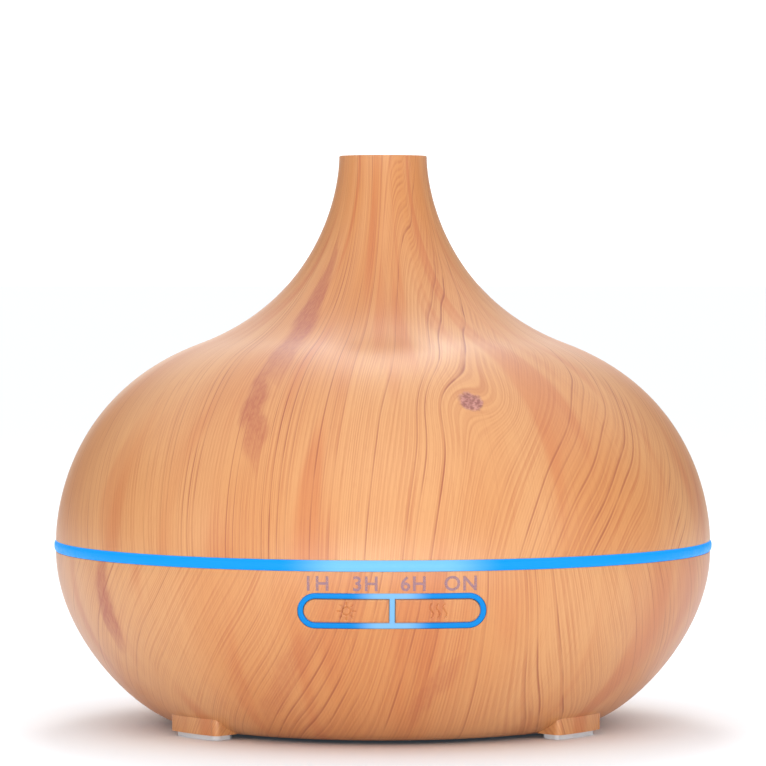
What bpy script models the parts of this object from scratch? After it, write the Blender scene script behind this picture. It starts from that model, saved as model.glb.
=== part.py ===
"""Ultrasonic essential oil diffuser, as an assembly of its real pieces.

The origin is on the surface it stands on, under the middle of the body.
+Z is up and the front, with the two keys, faces -Y.  Units are metres.
"""

import math

import bmesh
import bpy
from mathutils import Matrix, Vector

MM = 0.001

# ---------------------------------------------------------------- overall size
BODY_RADIUS = 84.0 * MM            # outside of the light ring, the widest place
HEIGHT = 145.0 * MM                # floor to the lip of the neck
FIT = 0.3 * MM                     # gap between pieces that touch or fit
SEGMENTS = 40                      # facets round a large turned piece
SMALL_SEGMENTS = 20                # facets round a middle-sized one
FAN_SEGMENTS = 32                  # facets round the fan's bore and its hood
SEAT_SEGMENTS = 16                 # facets round a screw seat
PIN_SEGMENTS = 12                  # facets round a screw, pin or bore
PAST = 1.0 * MM                    # how far a cutter runs past the face it opens
LAP = 0.5 * MM                     # how far joined pieces run into each other

# ---------------------------------------------------------------- light ring
RING_MID_Z = 45.8 * MM
RING_HEIGHT = 2.6 * MM
RING_PROUD = 0.4 * MM              # how far it stands out of the shells
RING_BAND = 8.5 * MM               # radial width of the visible band
RING_SKIRT_WALL = 2.0 * MM         # light guide that hangs inside the housing

# ---------------------------------------------------------------- outer shells
COVER_WALL = 2.2 * MM
HOUSING_WALL = 2.4 * MM
NECK_RADIUS = 11.2 * MM
NECK_RUN = 10.4 * MM               # nearly upright length below the lip
NECK_BLEND = 0.83                  # share of the shoulder that sweeps to the neck
SHOULDER_INSET = 36.9 * MM         # shoulder point, in from the shell's rim
SHOULDER_RISE = 49.7 * MM          # shoulder point, above the cover's rim
SHOULDER_SLOPE = math.radians(20.3)
SHOULDER_BLEND = 0.974             # share of the inset that the slope leads
BELLY_RUN = 3.3 * MM               # upright start of the cover's side
BOWL_RUN = 21.5 * MM               # upright start of the housing's side
BOWL_TURN_INSET = 20.9 * MM        # control point where the bowl turns under
BOWL_TURN_RISE = 1.4 * MM
BOWL_INSET = 31.1 * MM             # edge of the flat underside, in from the rim
FLOOR_CLEARANCE = 1.0 * MM         # underside above the floor
LIP_WIDTH = 2.4 * MM               # flat lip round the bottom opening

# ---------------------------------------------------------------- feet
FOOT_AZIMUTHS = (52.0, 128.0, 232.0, 308.0)
FOOT_INSETS = (30.0 * MM, 22.0 * MM)    # its inner and outer face, in from the shell's rim
FOOT_SPAN = 18.0                   # degrees of arc covered by a foot
PAD_INSETS = (29.0 * MM, 23.2 * MM)
PAD_SPAN = 15.6
PAD_THICKNESS = 1.2 * MM

# ---------------------------------------------------------------- bottom cover
BOTTOM_COVER_THICKNESS = 2.4 * MM
LEDGE_WIDTH = 2.6 * MM             # housing ledge above the bottom cover
LEDGE_THICKNESS = 1.6 * MM
SCREW_RADIUS = 1.1 * MM
SCREW_HEAD_RADIUS = 2.8 * MM
SCREW_HEAD_HEIGHT = 1.2 * MM
SCREW_LENGTH = 8.5 * MM
SMALL_HEAD_RADIUS = 2.4 * MM       # screws of the fan and the control board
CLAMP_HEAD_RADIUS = 2.2 * MM
PILOT_DEPTH = 1.2 * MM             # pilot holes below the bottom cover's top
SCREW_AZIMUTHS = (52.0, 128.0, 232.0, 308.0)
BOSS_RADIUS = 3.5 * MM
GRILLE_SLOT = 2.2 * MM
GRILLE_PITCH = 4.4 * MM

# ---------------------------------------------------------------- water tank
TANK_INSET = 13.6 * MM             # tank wall, in from the shell's rim
TANK_WALL = 2.0 * MM
TANK_FLOOR_Z = 26.0 * MM
TANK_RIM_Z = 72.0 * MM
TANK_CORNER = 8.0 * MM
FLANGE_THICKNESS = 2.0 * MM
PIPE_RADIUS = 8.0 * MM             # standpipe that brings air into the tank
PIPE_BORE = 6.5 * MM
PIPE_TOP_Z = 68.0 * MM
PIPE_DROP = 2.0 * MM               # how far it reaches below the tank floor

# ---------------------------------------------------------------- transducer
WELL_RADIUS = 18.0 * MM
WELL_BORE = 9.0 * MM
WELL_DEPTH = 5.5 * MM              # below the underside of the tank floor
DISC_RADIUS = 10.0 * MM
DISC_THICKNESS = 1.2 * MM
SEAL_THICKNESS = 2.4 * MM
SEAL_RADIUS = 11.4 * MM
SEAL_BORE = 8.4 * MM
CLAMP_THICKNESS = 2.0 * MM
CLAMP_SCREW_CIRCLE = 14.6 * MM
CLAMP_SCREW_LENGTH = 5.0 * MM
WELL_GAP = 1.0 * MM                # between the well and the air duct

# ---------------------------------------------------------------- fan and duct
FAN_SIZE = 40.0 * MM
FAN_HEIGHT = 10.0 * MM
FAN_BORE = 18.6 * MM
FAN_HUB = 8.5 * MM
FAN_HOLE_PITCH = 32.0 * MM
FAN_LIFT = 2.0 * MM                # standoffs on the bottom cover
FAN_STRUT = 2.0 * MM
FAN_STRUT_LIFT = 0.2 * MM          # underside of the struts above the frame's
FAN_STRUT_HEIGHT = 1.2 * MM
BLADES = 7
BLADE_THICKNESS = 0.9 * MM
BLADE_CHORD = 7.0 * MM
BLADE_PITCH = math.radians(38.0)
SHAFT_RADIUS = 1.0 * MM
DUCT_RADIUS = 19.4 * MM
DUCT_WALL = 1.5 * MM
DUCT_HEIGHT = 4.2 * MM
SPOUT_OFFSET = 10.0 * MM           # spout behind the fan's axis
SPOUT_RISE = 9.5 * MM
SPOUT_WALL = 1.2 * MM

# ---------------------------------------------------------------- electronics
BOARD_THICKNESS = 1.6 * MM
BOARD_LIFT = 5.0 * MM              # control board above the bottom cover
BOARD_DEPTH = 38.0 * MM
BOARD_HOLE_INSET = 4.0 * MM
STANDOFF_RADIUS = 2.6 * MM
HEAT_SINK_SIZE = (14.0 * MM, 9.0 * MM, 4.6 * MM)
HEAT_SINK_FINS = 4
COIL_RADIUS = 4.5 * MM
COIL_HEIGHT = 4.6 * MM
CHIP_SIZE = (8.0 * MM, 6.0 * MM, 1.4 * MM)
LED_BOARD_WIDTH = 6.4 * MM
LED_BOARD_THICKNESS = 1.2 * MM
LED_BOARD_GAP = 24.0               # degrees left free each side of the front
LED_SIZE = (3.5 * MM, 2.8 * MM, 1.4 * MM)
LED_COUNT = 8
LED_POST_RADIUS = 1.6 * MM         # posts that hold the board under the tank's flange
LEAD_RADIUS = 0.9 * MM

# ---------------------------------------------------------------- button panel
PANEL_DROP = 10.8 * MM             # middle of the panel below the ring's
BEZEL_SIZE = (44.8 * MM, 8.4 * MM)
BEZEL_STROKE = 1.2 * MM
DIVIDER = 1.15 * MM
KEY_THICKNESS = 2.0 * MM
KEY_TRAVEL = 0.8 * MM
BEZEL_FLANGE = 1.5 * MM            # lip behind the housing wall
BEZEL_FLANGE_THICKNESS = 1.2 * MM
STEM_RADIUS = 1.5 * MM
PLUNGER_RADIUS = 1.2 * MM
PLUNGER_PROUD = 0.7 * MM
SWITCH_SIZE = (6.0 * MM, 3.4 * MM, 6.0 * MM)
SWITCH_FLOOR = 0.6 * MM            # wall behind the plunger's bore
PANEL_BOARD_SIZE = (36.0 * MM, 1.4 * MM, 10.4 * MM)

# ---------------------------------------------------------------- power socket
JACK_AZIMUTH = 145.0
JACK_Z = 19.0 * MM
JACK_BODY = (11.0 * MM, 12.0 * MM, 11.0 * MM)
JACK_NOSE_RADIUS = 5.2 * MM
JACK_NOSE_LENGTH = 2.8 * MM
JACK_BORE = 2.9 * MM
JACK_PIN = 1.05 * MM
JACK_DEPTH = 11.0 * MM
JACK_PIN_RECESS = 1.0 * MM
JACK_RECESS = 5.8 * MM             # nose face, in from the shell at its height
SLEEVE_WALL = 1.5 * MM

# ---------------------------------------------------------------- inner cover
LINER_WALL = 1.6 * MM
LINER_SKIRT_GAP = 2.0 * MM         # skirt inside the tank wall
LINER_SKIRT_DROP = 8.0 * MM        # skirt below the tank rim
CHIMNEY_RADIUS = 8.6 * MM
CHIMNEY_WALL = 1.4 * MM
CHIMNEY_FOOT_Z = 102.0 * MM
CHIMNEY_RECESS = 1.5 * MM          # chimney lip below the neck's lip
COVER_SCREW_AZIMUTHS = (60.0, 180.0, 300.0)
COVER_SCREW_INSET = 33.0 * MM      # screw circle, in from the shell's rim
COVER_BOSS_RADIUS = 3.2 * MM
COVER_BOSS_DROP = 8.5 * MM         # boss end below the cover's inner face
COVER_PILOT_DEPTH = 7.0 * MM
TOWER_RADIUS = 4.6 * MM
TOWER_HEIGHT = 6.0 * MM
TOWER_FLOOR = 2.0 * MM             # left between the screw's head and the boss

# ---------------------------------------------------------------- derived sizes
RIM_RADIUS = BODY_RADIUS - RING_PROUD
RING_TOP = RING_MID_Z + RING_HEIGHT / 2
RING_BOTTOM = RING_MID_Z - RING_HEIGHT / 2
COVER_RIM_Z = RING_TOP + FIT
HOUSING_RIM_Z = RING_BOTTOM - FIT
RING_INNER = BODY_RADIUS - RING_BAND
SKIRT_OUTER = RIM_RADIUS - HOUSING_WALL - 3 * FIT
SKIRT_INNER = SKIRT_OUTER - RING_SKIRT_WALL
PANEL_Z = RING_MID_Z - PANEL_DROP
SKIRT_BOTTOM = PANEL_Z + BEZEL_SIZE[1] / 2 + BEZEL_FLANGE + 3 * FIT
SHOULDER_R = RIM_RADIUS - SHOULDER_INSET
SHOULDER_Z = COVER_RIM_Z + SHOULDER_RISE
BOTTOM_EDGE = RIM_RADIUS - BOWL_INSET
BOTTOM_OPENING = BOTTOM_EDGE - LIP_WIDTH
BOTTOM_COVER_RADIUS = BOTTOM_OPENING - FIT
BOTTOM_COVER_Z = FLOOR_CLEARANCE + FIT
BOTTOM_COVER_TOP = BOTTOM_COVER_Z + BOTTOM_COVER_THICKNESS
LEDGE_Z = BOTTOM_COVER_TOP + FIT
LEDGE_RADIUS = BOTTOM_OPENING - LEDGE_WIDTH
TANK_RADIUS = RIM_RADIUS - TANK_INSET
FLANGE_TOP = RING_BOTTOM - FIT
FLANGE_RADIUS = SKIRT_INNER - 2 * FIT
BOSS_CIRCLE = LEDGE_RADIUS - BOSS_RADIUS - 2 * FIT
FAN_Z = BOTTOM_COVER_TOP + FAN_LIFT + FIT
FAN_TOP = FAN_Z + FAN_HEIGHT
BOARD_Z = BOTTOM_COVER_TOP + BOARD_LIFT + FIT
BOARD_TOP = BOARD_Z + BOARD_THICKNESS
WELL_BOTTOM = TANK_FLOOR_Z - WELL_DEPTH
SEAL_TOP = WELL_BOTTOM + SEAL_THICKNESS
CLAMP_TOP = WELL_BOTTOM - FIT
CLAMP_BOTTOM = CLAMP_TOP - CLAMP_THICKNESS
PANEL_BOARD_BACK = TANK_RADIUS + 1.2 * MM
SWITCH_BACK = PANEL_BOARD_BACK + PANEL_BOARD_SIZE[1] + FIT
SWITCH_FRONT = SWITCH_BACK + SWITCH_SIZE[1]
KEY_WINDOW = ((BEZEL_SIZE[0] - 2 * BEZEL_STROKE - DIVIDER) / 2, BEZEL_SIZE[1] - 2 * BEZEL_STROKE)
KEY_X = (KEY_WINDOW[0] + DIVIDER) / 2


# ================================================================ plane outlines
def bezier(points, steps):
    """Points along a cubic curve, both ends included."""
    result = []
    for i in range(steps + 1):
        t = i / steps
        weights = ((1 - t) ** 3, 3 * (1 - t) ** 2 * t, 3 * (1 - t) * t * t, t ** 3)
        r = sum(w * p[0] for w, p in zip(weights, points))
        z = sum(w * p[1] for w, p in zip(weights, points))
        result.append((r, z))
    return result


def cover_outline(side_steps=6, neck_steps=6):
    """Outside of the top cover as (radius, height), from its rim to its lip."""
    rise = SHOULDER_BLEND * SHOULDER_INSET
    foot = NECK_BLEND * (SHOULDER_R - NECK_RADIUS)
    slope = math.tan(SHOULDER_SLOPE)
    side = bezier([(RIM_RADIUS, COVER_RIM_Z), (RIM_RADIUS, COVER_RIM_Z + BELLY_RUN),
                   (SHOULDER_R + rise, SHOULDER_Z - slope * rise),
                   (SHOULDER_R, SHOULDER_Z)], side_steps)
    neck = bezier([(SHOULDER_R, SHOULDER_Z), (SHOULDER_R - foot, SHOULDER_Z + slope * foot),
                   (NECK_RADIUS, HEIGHT - NECK_RUN), (NECK_RADIUS, HEIGHT)], neck_steps)
    return side + neck[1:]


def bowl_outline(steps=7):
    """Outside of the housing as (radius, height), from its rim to its underside."""
    return bezier([(RIM_RADIUS, HOUSING_RIM_Z), (RIM_RADIUS, HOUSING_RIM_Z - BOWL_RUN),
                   (RIM_RADIUS - BOWL_TURN_INSET, FLOOR_CLEARANCE + BOWL_TURN_RISE),
                   (BOTTOM_EDGE, FLOOR_CLEARANCE)], steps)


def inset(outline, depth):
    """The outline moved towards the inside along its normals."""
    result = []
    for i, point in enumerate(outline):
        before = Vector(outline[max(i - 1, 0)])
        after = Vector(outline[min(i + 1, len(outline) - 1)])
        along = (after - before).normalized()
        normal = Vector((-along.y, along.x))
        if normal.x > 0 or abs(normal.x) < 1e-9:
            normal = -normal
        result.append(tuple(Vector(point) + depth * normal))
    return result


def radius_at(outline, z):
    """Radius of an outline at a height."""
    ordered = sorted(outline, key=lambda p: p[1])
    for (r0, z0), (r1, z1) in zip(ordered, ordered[1:]):
        if z0 <= z <= z1:
            return r0 + (r1 - r0) * (z - z0) / (z1 - z0)
    raise ValueError("height outside the outline")


def height_at(outline, r):
    """Height of a falling outline at a radius."""
    for (r0, z0), (r1, z1) in zip(outline, outline[1:]):
        if min(r0, r1) <= r <= max(r0, r1) and r0 != r1:
            return z0 + (z1 - z0) * (r - r0) / (r1 - r0)
    raise ValueError("radius outside the outline")


def bowl_inner_radius(z):
    """Radius of the housing's inner face at a height."""
    return radius_at(inset(bowl_outline(24), HOUSING_WALL), z)


def polar(radius, azimuth, z=0.0):
    """A point at an azimuth in degrees, counted from the front towards +X."""
    a = math.radians(azimuth)
    return Vector((radius * math.sin(a), -radius * math.cos(a), z))


def rounded_strip(width, height, left_round, right_round, arc_steps=6):
    """Outline (x, z) of a strip, centred, with half-round or square ends."""
    radius = height / 2
    points = []
    for side, is_round in ((1, right_round), (-1, left_round)):
        if is_round:
            for i in range(arc_steps + 1):
                a = -math.pi / 2 + math.pi * i / arc_steps
                points.append((side * (width / 2 - radius + radius * math.cos(a)),
                               side * radius * math.sin(a)))
        else:
            points.append((side * width / 2, -side * radius))
            points.append((side * width / 2, side * radius))
    return points


# ================================================================ solids
def new_object(name, bm):
    """Put a bmesh into a new object with its faces pointing out."""
    bmesh.ops.recalc_face_normals(bm, faces=bm.faces[:])
    mesh = bpy.data.meshes.new(name)
    bm.to_mesh(mesh)
    bm.free()
    obj = bpy.data.objects.new(name, mesh)
    bpy.context.scene.collection.objects.link(obj)
    return obj


def turned(name, profile, segments=SEGMENTS, centre=(0.0, 0.0)):
    """A solid turned about an upright axis from a closed (radius, height) profile."""
    bm = bmesh.new()
    rings = []
    for r, z in profile:
        if r < 1e-9:
            rings.append([bm.verts.new((centre[0], centre[1], z))])
            continue
        ring = []
        for i in range(segments):
            a = 2 * math.pi * i / segments
            ring.append(bm.verts.new((centre[0] + r * math.sin(a), centre[1] - r * math.cos(a), z)))
        rings.append(ring)
    for lower, upper in zip(rings, rings[1:] + rings[:1]):
        if len(lower) == 1 and len(upper) == 1:
            continue
        for i in range(segments):
            j = (i + 1) % segments
            corners = [lower[i % len(lower)], lower[j % len(lower)],
                       upper[j % len(upper)], upper[i % len(upper)]]
            bm.faces.new(list(dict.fromkeys(corners)))
    return new_object(name, bm)


def prism(name, outline, low, high, axis="z"):
    """A straight prism: outline in x, y (axis z) or in x, z (axis y)."""
    bm = bmesh.new()
    ends = []
    for level in (low, high):
        if axis == "z":
            ends.append([bm.verts.new((u, v, level)) for u, v in outline])
        else:
            ends.append([bm.verts.new((u, level, v)) for u, v in outline])
    count = len(outline)
    bm.faces.new(ends[0])
    bm.faces.new(ends[1])
    for i in range(count):
        j = (i + 1) % count
        bm.faces.new([ends[0][i], ends[0][j], ends[1][j], ends[1][i]])
    return new_object(name, bm)


def box(name, low, high):
    """A box between two corners."""
    outline = [(low[0], low[1]), (high[0], low[1]), (high[0], high[1]), (low[0], high[1])]
    return prism(name, outline, low[2], high[2])


def box_at(name, centre, size, low_z):
    """A box over a centre (x, y), standing at a height."""
    x, y = centre[0], centre[1]
    return box(name, (x - size[0] / 2, y - size[1] / 2, low_z),
               (x + size[0] / 2, y + size[1] / 2, low_z + size[2]))


def rod(name, radius, low, high, centre=(0.0, 0.0), segments=PIN_SEGMENTS, axis="z"):
    """A round bar; its centre is (x, y) for axis z and (x, z) for axis y."""
    outline = []
    for i in range(segments):
        a = 2 * math.pi * (i + 0.5) / segments
        outline.append((centre[0] + radius * math.cos(a), centre[1] + radius * math.sin(a)))
    return prism(name, outline, low, high, axis)


def sector(name, radii, azimuth, span, low, high, steps=4):
    """A block of constant height between two radii, over an arc."""
    outer = []
    inner = []
    for i in range(steps + 1):
        a = azimuth - span / 2 + span * i / steps
        outer.append(tuple(polar(radii[1], a).xy))
        inner.append(tuple(polar(radii[0], a).xy))
    return prism(name, outer + inner[::-1], low, high)


def combine(target, tool, operation):
    """Join, cut or intersect with an exact Boolean, then drop the tool."""
    modifier = target.modifiers.new("combine", "BOOLEAN")
    modifier.operation = operation
    modifier.solver = "EXACT"
    modifier.object = tool
    graph = bpy.context.evaluated_depsgraph_get()
    graph.update()
    result = bpy.data.meshes.new_from_object(target.evaluated_get(graph), depsgraph=graph)
    target.modifiers.clear()
    old_mesh = target.data
    target.data = result
    bpy.data.meshes.remove(old_mesh)
    tool_mesh = tool.data
    bpy.data.objects.remove(tool)
    bpy.data.meshes.remove(tool_mesh)


def join(target, *tools):
    for tool in tools:
        combine(target, tool, "UNION")


def cut(target, *tools):
    for tool in tools:
        combine(target, tool, "DIFFERENCE")


def keep_inside(target, tool):
    combine(target, tool, "INTERSECT")


def turn(obj, degrees, centre=(0.0, 0.0)):
    """Turn an object's mesh about an upright axis."""
    shift = Matrix.Translation((centre[0], centre[1], 0.0))
    spin = Matrix.Rotation(math.radians(degrees), 4, "Z")
    obj.data.transform(shift @ spin @ shift.inverted())


# ================================================================ materials, finish
def material(name, colour, roughness, metallic=0.0, alpha=1.0, glow=0.0):
    """A Principled material, made once for each name."""
    if name in bpy.data.materials:
        return bpy.data.materials[name]
    made = bpy.data.materials.new(name)
    made.use_nodes = True
    shader = made.node_tree.nodes["Principled BSDF"]
    shader.inputs["Base Color"].default_value = (*colour, 1.0)
    shader.inputs["Roughness"].default_value = roughness
    shader.inputs["Metallic"].default_value = metallic
    shader.inputs["Alpha"].default_value = alpha
    if glow:
        shader.inputs["Emission Color"].default_value = (*colour, 1.0)
        shader.inputs["Emission Strength"].default_value = glow
    made.diffuse_color = (*colour, alpha)
    return made


def wood():
    return material("wood_grain", (0.70, 0.36, 0.12), 0.42)


def white_plastic():
    return material("white_plastic", (0.86, 0.86, 0.84), 0.35)


def tank_plastic():
    return material("tank_plastic", (0.78, 0.82, 0.84), 0.3, alpha=0.75)


def light_plastic():
    return material("lit_plastic", (0.1, 0.6, 1.0), 0.3, glow=1.0)


def black_plastic():
    return material("black_plastic", (0.02, 0.02, 0.022), 0.45)


def rubber():
    return material("pale_rubber", (0.62, 0.62, 0.6), 0.75)


def circuit_board():
    return material("circuit_board", (0.02, 0.16, 0.07), 0.4)


def steel():
    return material("steel", (0.6, 0.6, 0.6), 0.3, metallic=1.0)


def aluminium():
    return material("aluminium", (0.78, 0.79, 0.8), 0.35, metallic=1.0)


def finish(obj, surface, carrier=None):
    """Give a piece its material and shading, and hang it on a moving carrier."""
    obj.data.materials.clear()
    obj.data.materials.append(surface)
    for face in obj.data.polygons:
        face.material_index = 0
    obj.data.shade_smooth()
    obj.data.set_sharp_from_angle(angle=math.radians(32))
    if carrier is not None:
        obj.data.transform(Matrix.Translation(-carrier.location))
        obj.parent = carrier
    return obj


def axis_empty(name, location):
    """An empty on a joint's axis, which carries the pieces that move."""
    empty = bpy.data.objects.new(name, None)
    empty.empty_display_size = 0.02
    empty.location = location
    bpy.context.scene.collection.objects.link(empty)
    return empty


# ================================================================ shared places
def fan_centre():
    """The fan stands at the back, as far out as its posts fit on the bottom cover."""
    half = FAN_HOLE_PITCH / 2
    reach = LEDGE_RADIUS - STANDOFF_RADIUS - 2 * FIT
    return (0.0, math.sqrt(reach ** 2 - half ** 2) - half)


def well_centre():
    """The transducer's well sits just in front of the air duct."""
    return (0.0, fan_centre()[1] - DUCT_RADIUS - WELL_RADIUS - WELL_GAP)


def spout_centre():
    return (0.0, fan_centre()[1] + SPOUT_OFFSET)


def board_box():
    """Control board corners in x and y: between the bosses, in front of the fan."""
    half = polar(BOSS_CIRCLE, SCREW_AZIMUTHS[0]).x - BOSS_RADIUS - 2.0 * MM
    back = fan_centre()[1] - FAN_SIZE / 2 - 2.0 * MM
    return (-half, back - BOARD_DEPTH), (half, back)


def board_holes():
    """Two opposite fixing holes of the control board."""
    low, high = board_box()
    return ((low[0] + BOARD_HOLE_INSET, low[1] + BOARD_HOLE_INSET),
            (high[0] - BOARD_HOLE_INSET, high[1] - BOARD_HOLE_INSET))


def fan_holes():
    """The fan's four fixing holes; the first and the third take screws."""
    x, y = fan_centre()
    half = FAN_HOLE_PITCH / 2
    return [(x + half, y + half), (x - half, y + half), (x - half, y - half), (x + half, y - half)]


def clamp_holes():
    x, y = well_centre()
    places = []
    for azimuth in (0.0, 120.0, 240.0):
        offset = polar(CLAMP_SCREW_CIRCLE, azimuth)
        places.append((x + offset.x, y + offset.y))
    return places


def jack_face():
    """Distance of the socket's front face from the middle of the body."""
    return radius_at(bowl_outline(24), JACK_Z) - JACK_RECESS


def cover_screw_circle():
    return RIM_RADIUS - COVER_SCREW_INSET


# ================================================================ base: shells
def make_base_housing():
    """Lower shell with its feet, bottom ledge, panel opening and socket sleeve."""
    bowl = bowl_outline()
    shell = turned("base_housing", [(0.0, HOUSING_RIM_Z)] + bowl + [(0.0, FLOOR_CLEARANCE)])
    outside = shell.copy()
    outside.data = shell.data.copy()
    bpy.context.scene.collection.objects.link(outside)
    for azimuth in FOOT_AZIMUTHS:
        radii = [RIM_RADIUS - inset_by for inset_by in FOOT_INSETS]
        top = height_at(bowl_outline(24), radii[1]) + HOUSING_WALL
        join(shell, sector("foot", radii, azimuth, FOOT_SPAN, PAD_THICKNESS + FIT, top))
    inner = [p for p in inset(bowl, HOUSING_WALL) if p[1] > LEDGE_Z + LEDGE_THICKNESS + 0.2 * MM]
    inner[0] = (RIM_RADIUS - HOUSING_WALL, HOUSING_RIM_Z + PAST)
    ledge_top = LEDGE_Z + LEDGE_THICKNESS
    cavity = [(0.0, inner[0][1])] + inner
    cavity += [(bowl_inner_radius(ledge_top), ledge_top), (LEDGE_RADIUS, ledge_top)]
    cavity += [(LEDGE_RADIUS, LEDGE_Z), (BOTTOM_OPENING, LEDGE_Z)]
    cavity += [(BOTTOM_OPENING, FLOOR_CLEARANCE - PAST), (0.0, FLOOR_CLEARANCE - PAST)]
    cut(shell, turned("cavity", cavity))

    face = jack_face()
    sleeve = rod("sleeve", JACK_NOSE_RADIUS + 2 * FIT + SLEEVE_WALL, face - JACK_NOSE_LENGTH + FIT,
                 RIM_RADIUS, (0.0, JACK_Z), SMALL_SEGMENTS, "y")
    turn(sleeve, JACK_AZIMUTH - 180.0)
    keep_inside(sleeve, outside)
    join(shell, sleeve)
    bore = rod("bore", JACK_NOSE_RADIUS + FIT, face - JACK_NOSE_LENGTH - PAST,
               RIM_RADIUS + 5.0 * MM, (0.0, JACK_Z), SMALL_SEGMENTS, "y")
    turn(bore, JACK_AZIMUTH - 180.0)
    cut(shell, bore)

    opening = rounded_strip(BEZEL_SIZE[0] + 2 * FIT, BEZEL_SIZE[1] + 2 * FIT, True, True)
    cut(shell, panel_prism("opening", opening))
    return finish(shell, wood())


def panel_prism(name, outline, centre_x=0.0):
    """A prism through the front wall at the button panel."""
    placed = [(centre_x + x, PANEL_Z + z) for x, z in outline]
    return prism(name, placed, -(RIM_RADIUS + 5.0 * MM), -TANK_RADIUS, "y")


def front_band(name, near, far):
    """The housing's front wall between two depths, as a turned band."""
    outline = bowl_outline()
    outer = inset(outline, near) if near else outline
    inner = inset(outline, far)
    margin = 8.0 * MM
    low = PANEL_Z - margin
    high = PANEL_Z + margin
    rows = 1 + sum(1 for point in outline if point[1] > low)
    band = turned(name, outer[:rows] + inner[:rows][::-1])
    keep_inside(band, box("slab", (-BODY_RADIUS, -BODY_RADIUS - margin, low), (BODY_RADIUS, 0.0, high)))
    return band


def make_light_ring():
    """Translucent band between the shells, with a light guide that hangs inside."""
    edge = 0.5 * MM
    profile = [(RIM_RADIUS - 0.2 * MM, RING_BOTTOM), (BODY_RADIUS, RING_BOTTOM + edge),
               (BODY_RADIUS, RING_TOP - edge), (RIM_RADIUS - 0.2 * MM, RING_TOP),
               (RING_INNER, RING_TOP), (RING_INNER, RING_BOTTOM), (SKIRT_INNER, RING_BOTTOM),
               (SKIRT_INNER, SKIRT_BOTTOM),
               (SKIRT_OUTER, SKIRT_BOTTOM), (SKIRT_OUTER, RING_BOTTOM)]
    return finish(turned("light_ring", profile), light_plastic())


def make_bottom_cover():
    """Round plate with the air grille, the screw seats and the standoffs."""
    plate = turned("bottom_cover", [(0.0, BOTTOM_COVER_Z), (BOTTOM_COVER_RADIUS, BOTTOM_COVER_Z),
                                    (BOTTOM_COVER_RADIUS, BOTTOM_COVER_TOP), (0.0, BOTTOM_COVER_TOP)])
    for place in fan_holes():
        join(plate, rod("post", STANDOFF_RADIUS, BOTTOM_COVER_TOP - LAP, FAN_Z - FIT, place))
    for place in board_holes():
        join(plate, rod("post", STANDOFF_RADIUS, BOTTOM_COVER_TOP - LAP, BOARD_Z - FIT, place))
    for place in (fan_holes()[0], fan_holes()[2], *board_holes()):
        cut(plate, rod("pilot", SCREW_RADIUS + FIT, BOTTOM_COVER_TOP - PILOT_DEPTH, FAN_TOP, place))
    for azimuth in SCREW_AZIMUTHS:
        place = tuple(polar(BOSS_CIRCLE, azimuth).xy)
        cut(plate, rod("through", SCREW_RADIUS + FIT, 0.0, FAN_TOP, place))
        cut(plate, rod("seat", SCREW_HEAD_RADIUS + FIT, 0.0,
                       BOTTOM_COVER_Z + SCREW_HEAD_HEIGHT + 2 * FIT, place, SEAT_SEGMENTS))
    x, y = fan_centre()
    reach = FAN_BORE - 1.6 * MM
    rows = int(reach / GRILLE_PITCH)
    for row in range(-rows, rows + 1):
        offset = row * GRILLE_PITCH
        half = math.sqrt(reach ** 2 - offset ** 2)
        slot = rounded_strip(2 * half, GRILLE_SLOT, True, True, 2)
        placed = [(x + u, y + offset + v) for u, v in slot]
        cut(plate, prism("slot", placed, 0.0, BOTTOM_COVER_TOP + PAST))
    return finish(plate, black_plastic())


def make_foot_pads():
    """Rubber pads stuck under the foot blocks."""
    radii = [RIM_RADIUS - inset_by for inset_by in PAD_INSETS]
    for number, azimuth in enumerate(FOOT_AZIMUTHS, 1):
        pad = sector(f"foot_pad_{number}", radii, azimuth, PAD_SPAN, 0.0, PAD_THICKNESS)
        finish(pad, rubber())


def make_screw(name, place, head_low, length, up=True, radius=SCREW_RADIUS, head=SCREW_HEAD_RADIUS,
               head_height=SCREW_HEAD_HEIGHT, carrier=None):
    """A pan-head screw; its shank points up from the head, or down from it."""
    sign = 1.0 if up else -1.0
    start = head_low if up else head_low + head_height
    levels = [(0.0, 0.0), (head * 0.72, 0.0), (head, head_height * 0.45), (head, head_height),
              (radius, head_height), (radius, head_height + length - radius),
              (0.0, head_height + length)]
    profile = [(r, start + sign * h) for r, h in levels]
    return finish(turned(name, profile, PIN_SEGMENTS, place), steel(), carrier)


def make_bottom_screws():
    for number, azimuth in enumerate(SCREW_AZIMUTHS, 1):
        place = tuple(polar(BOSS_CIRCLE, azimuth).xy)
        make_screw(f"bottom_screw_{number}", place, BOTTOM_COVER_Z + FIT, SCREW_LENGTH)


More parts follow.
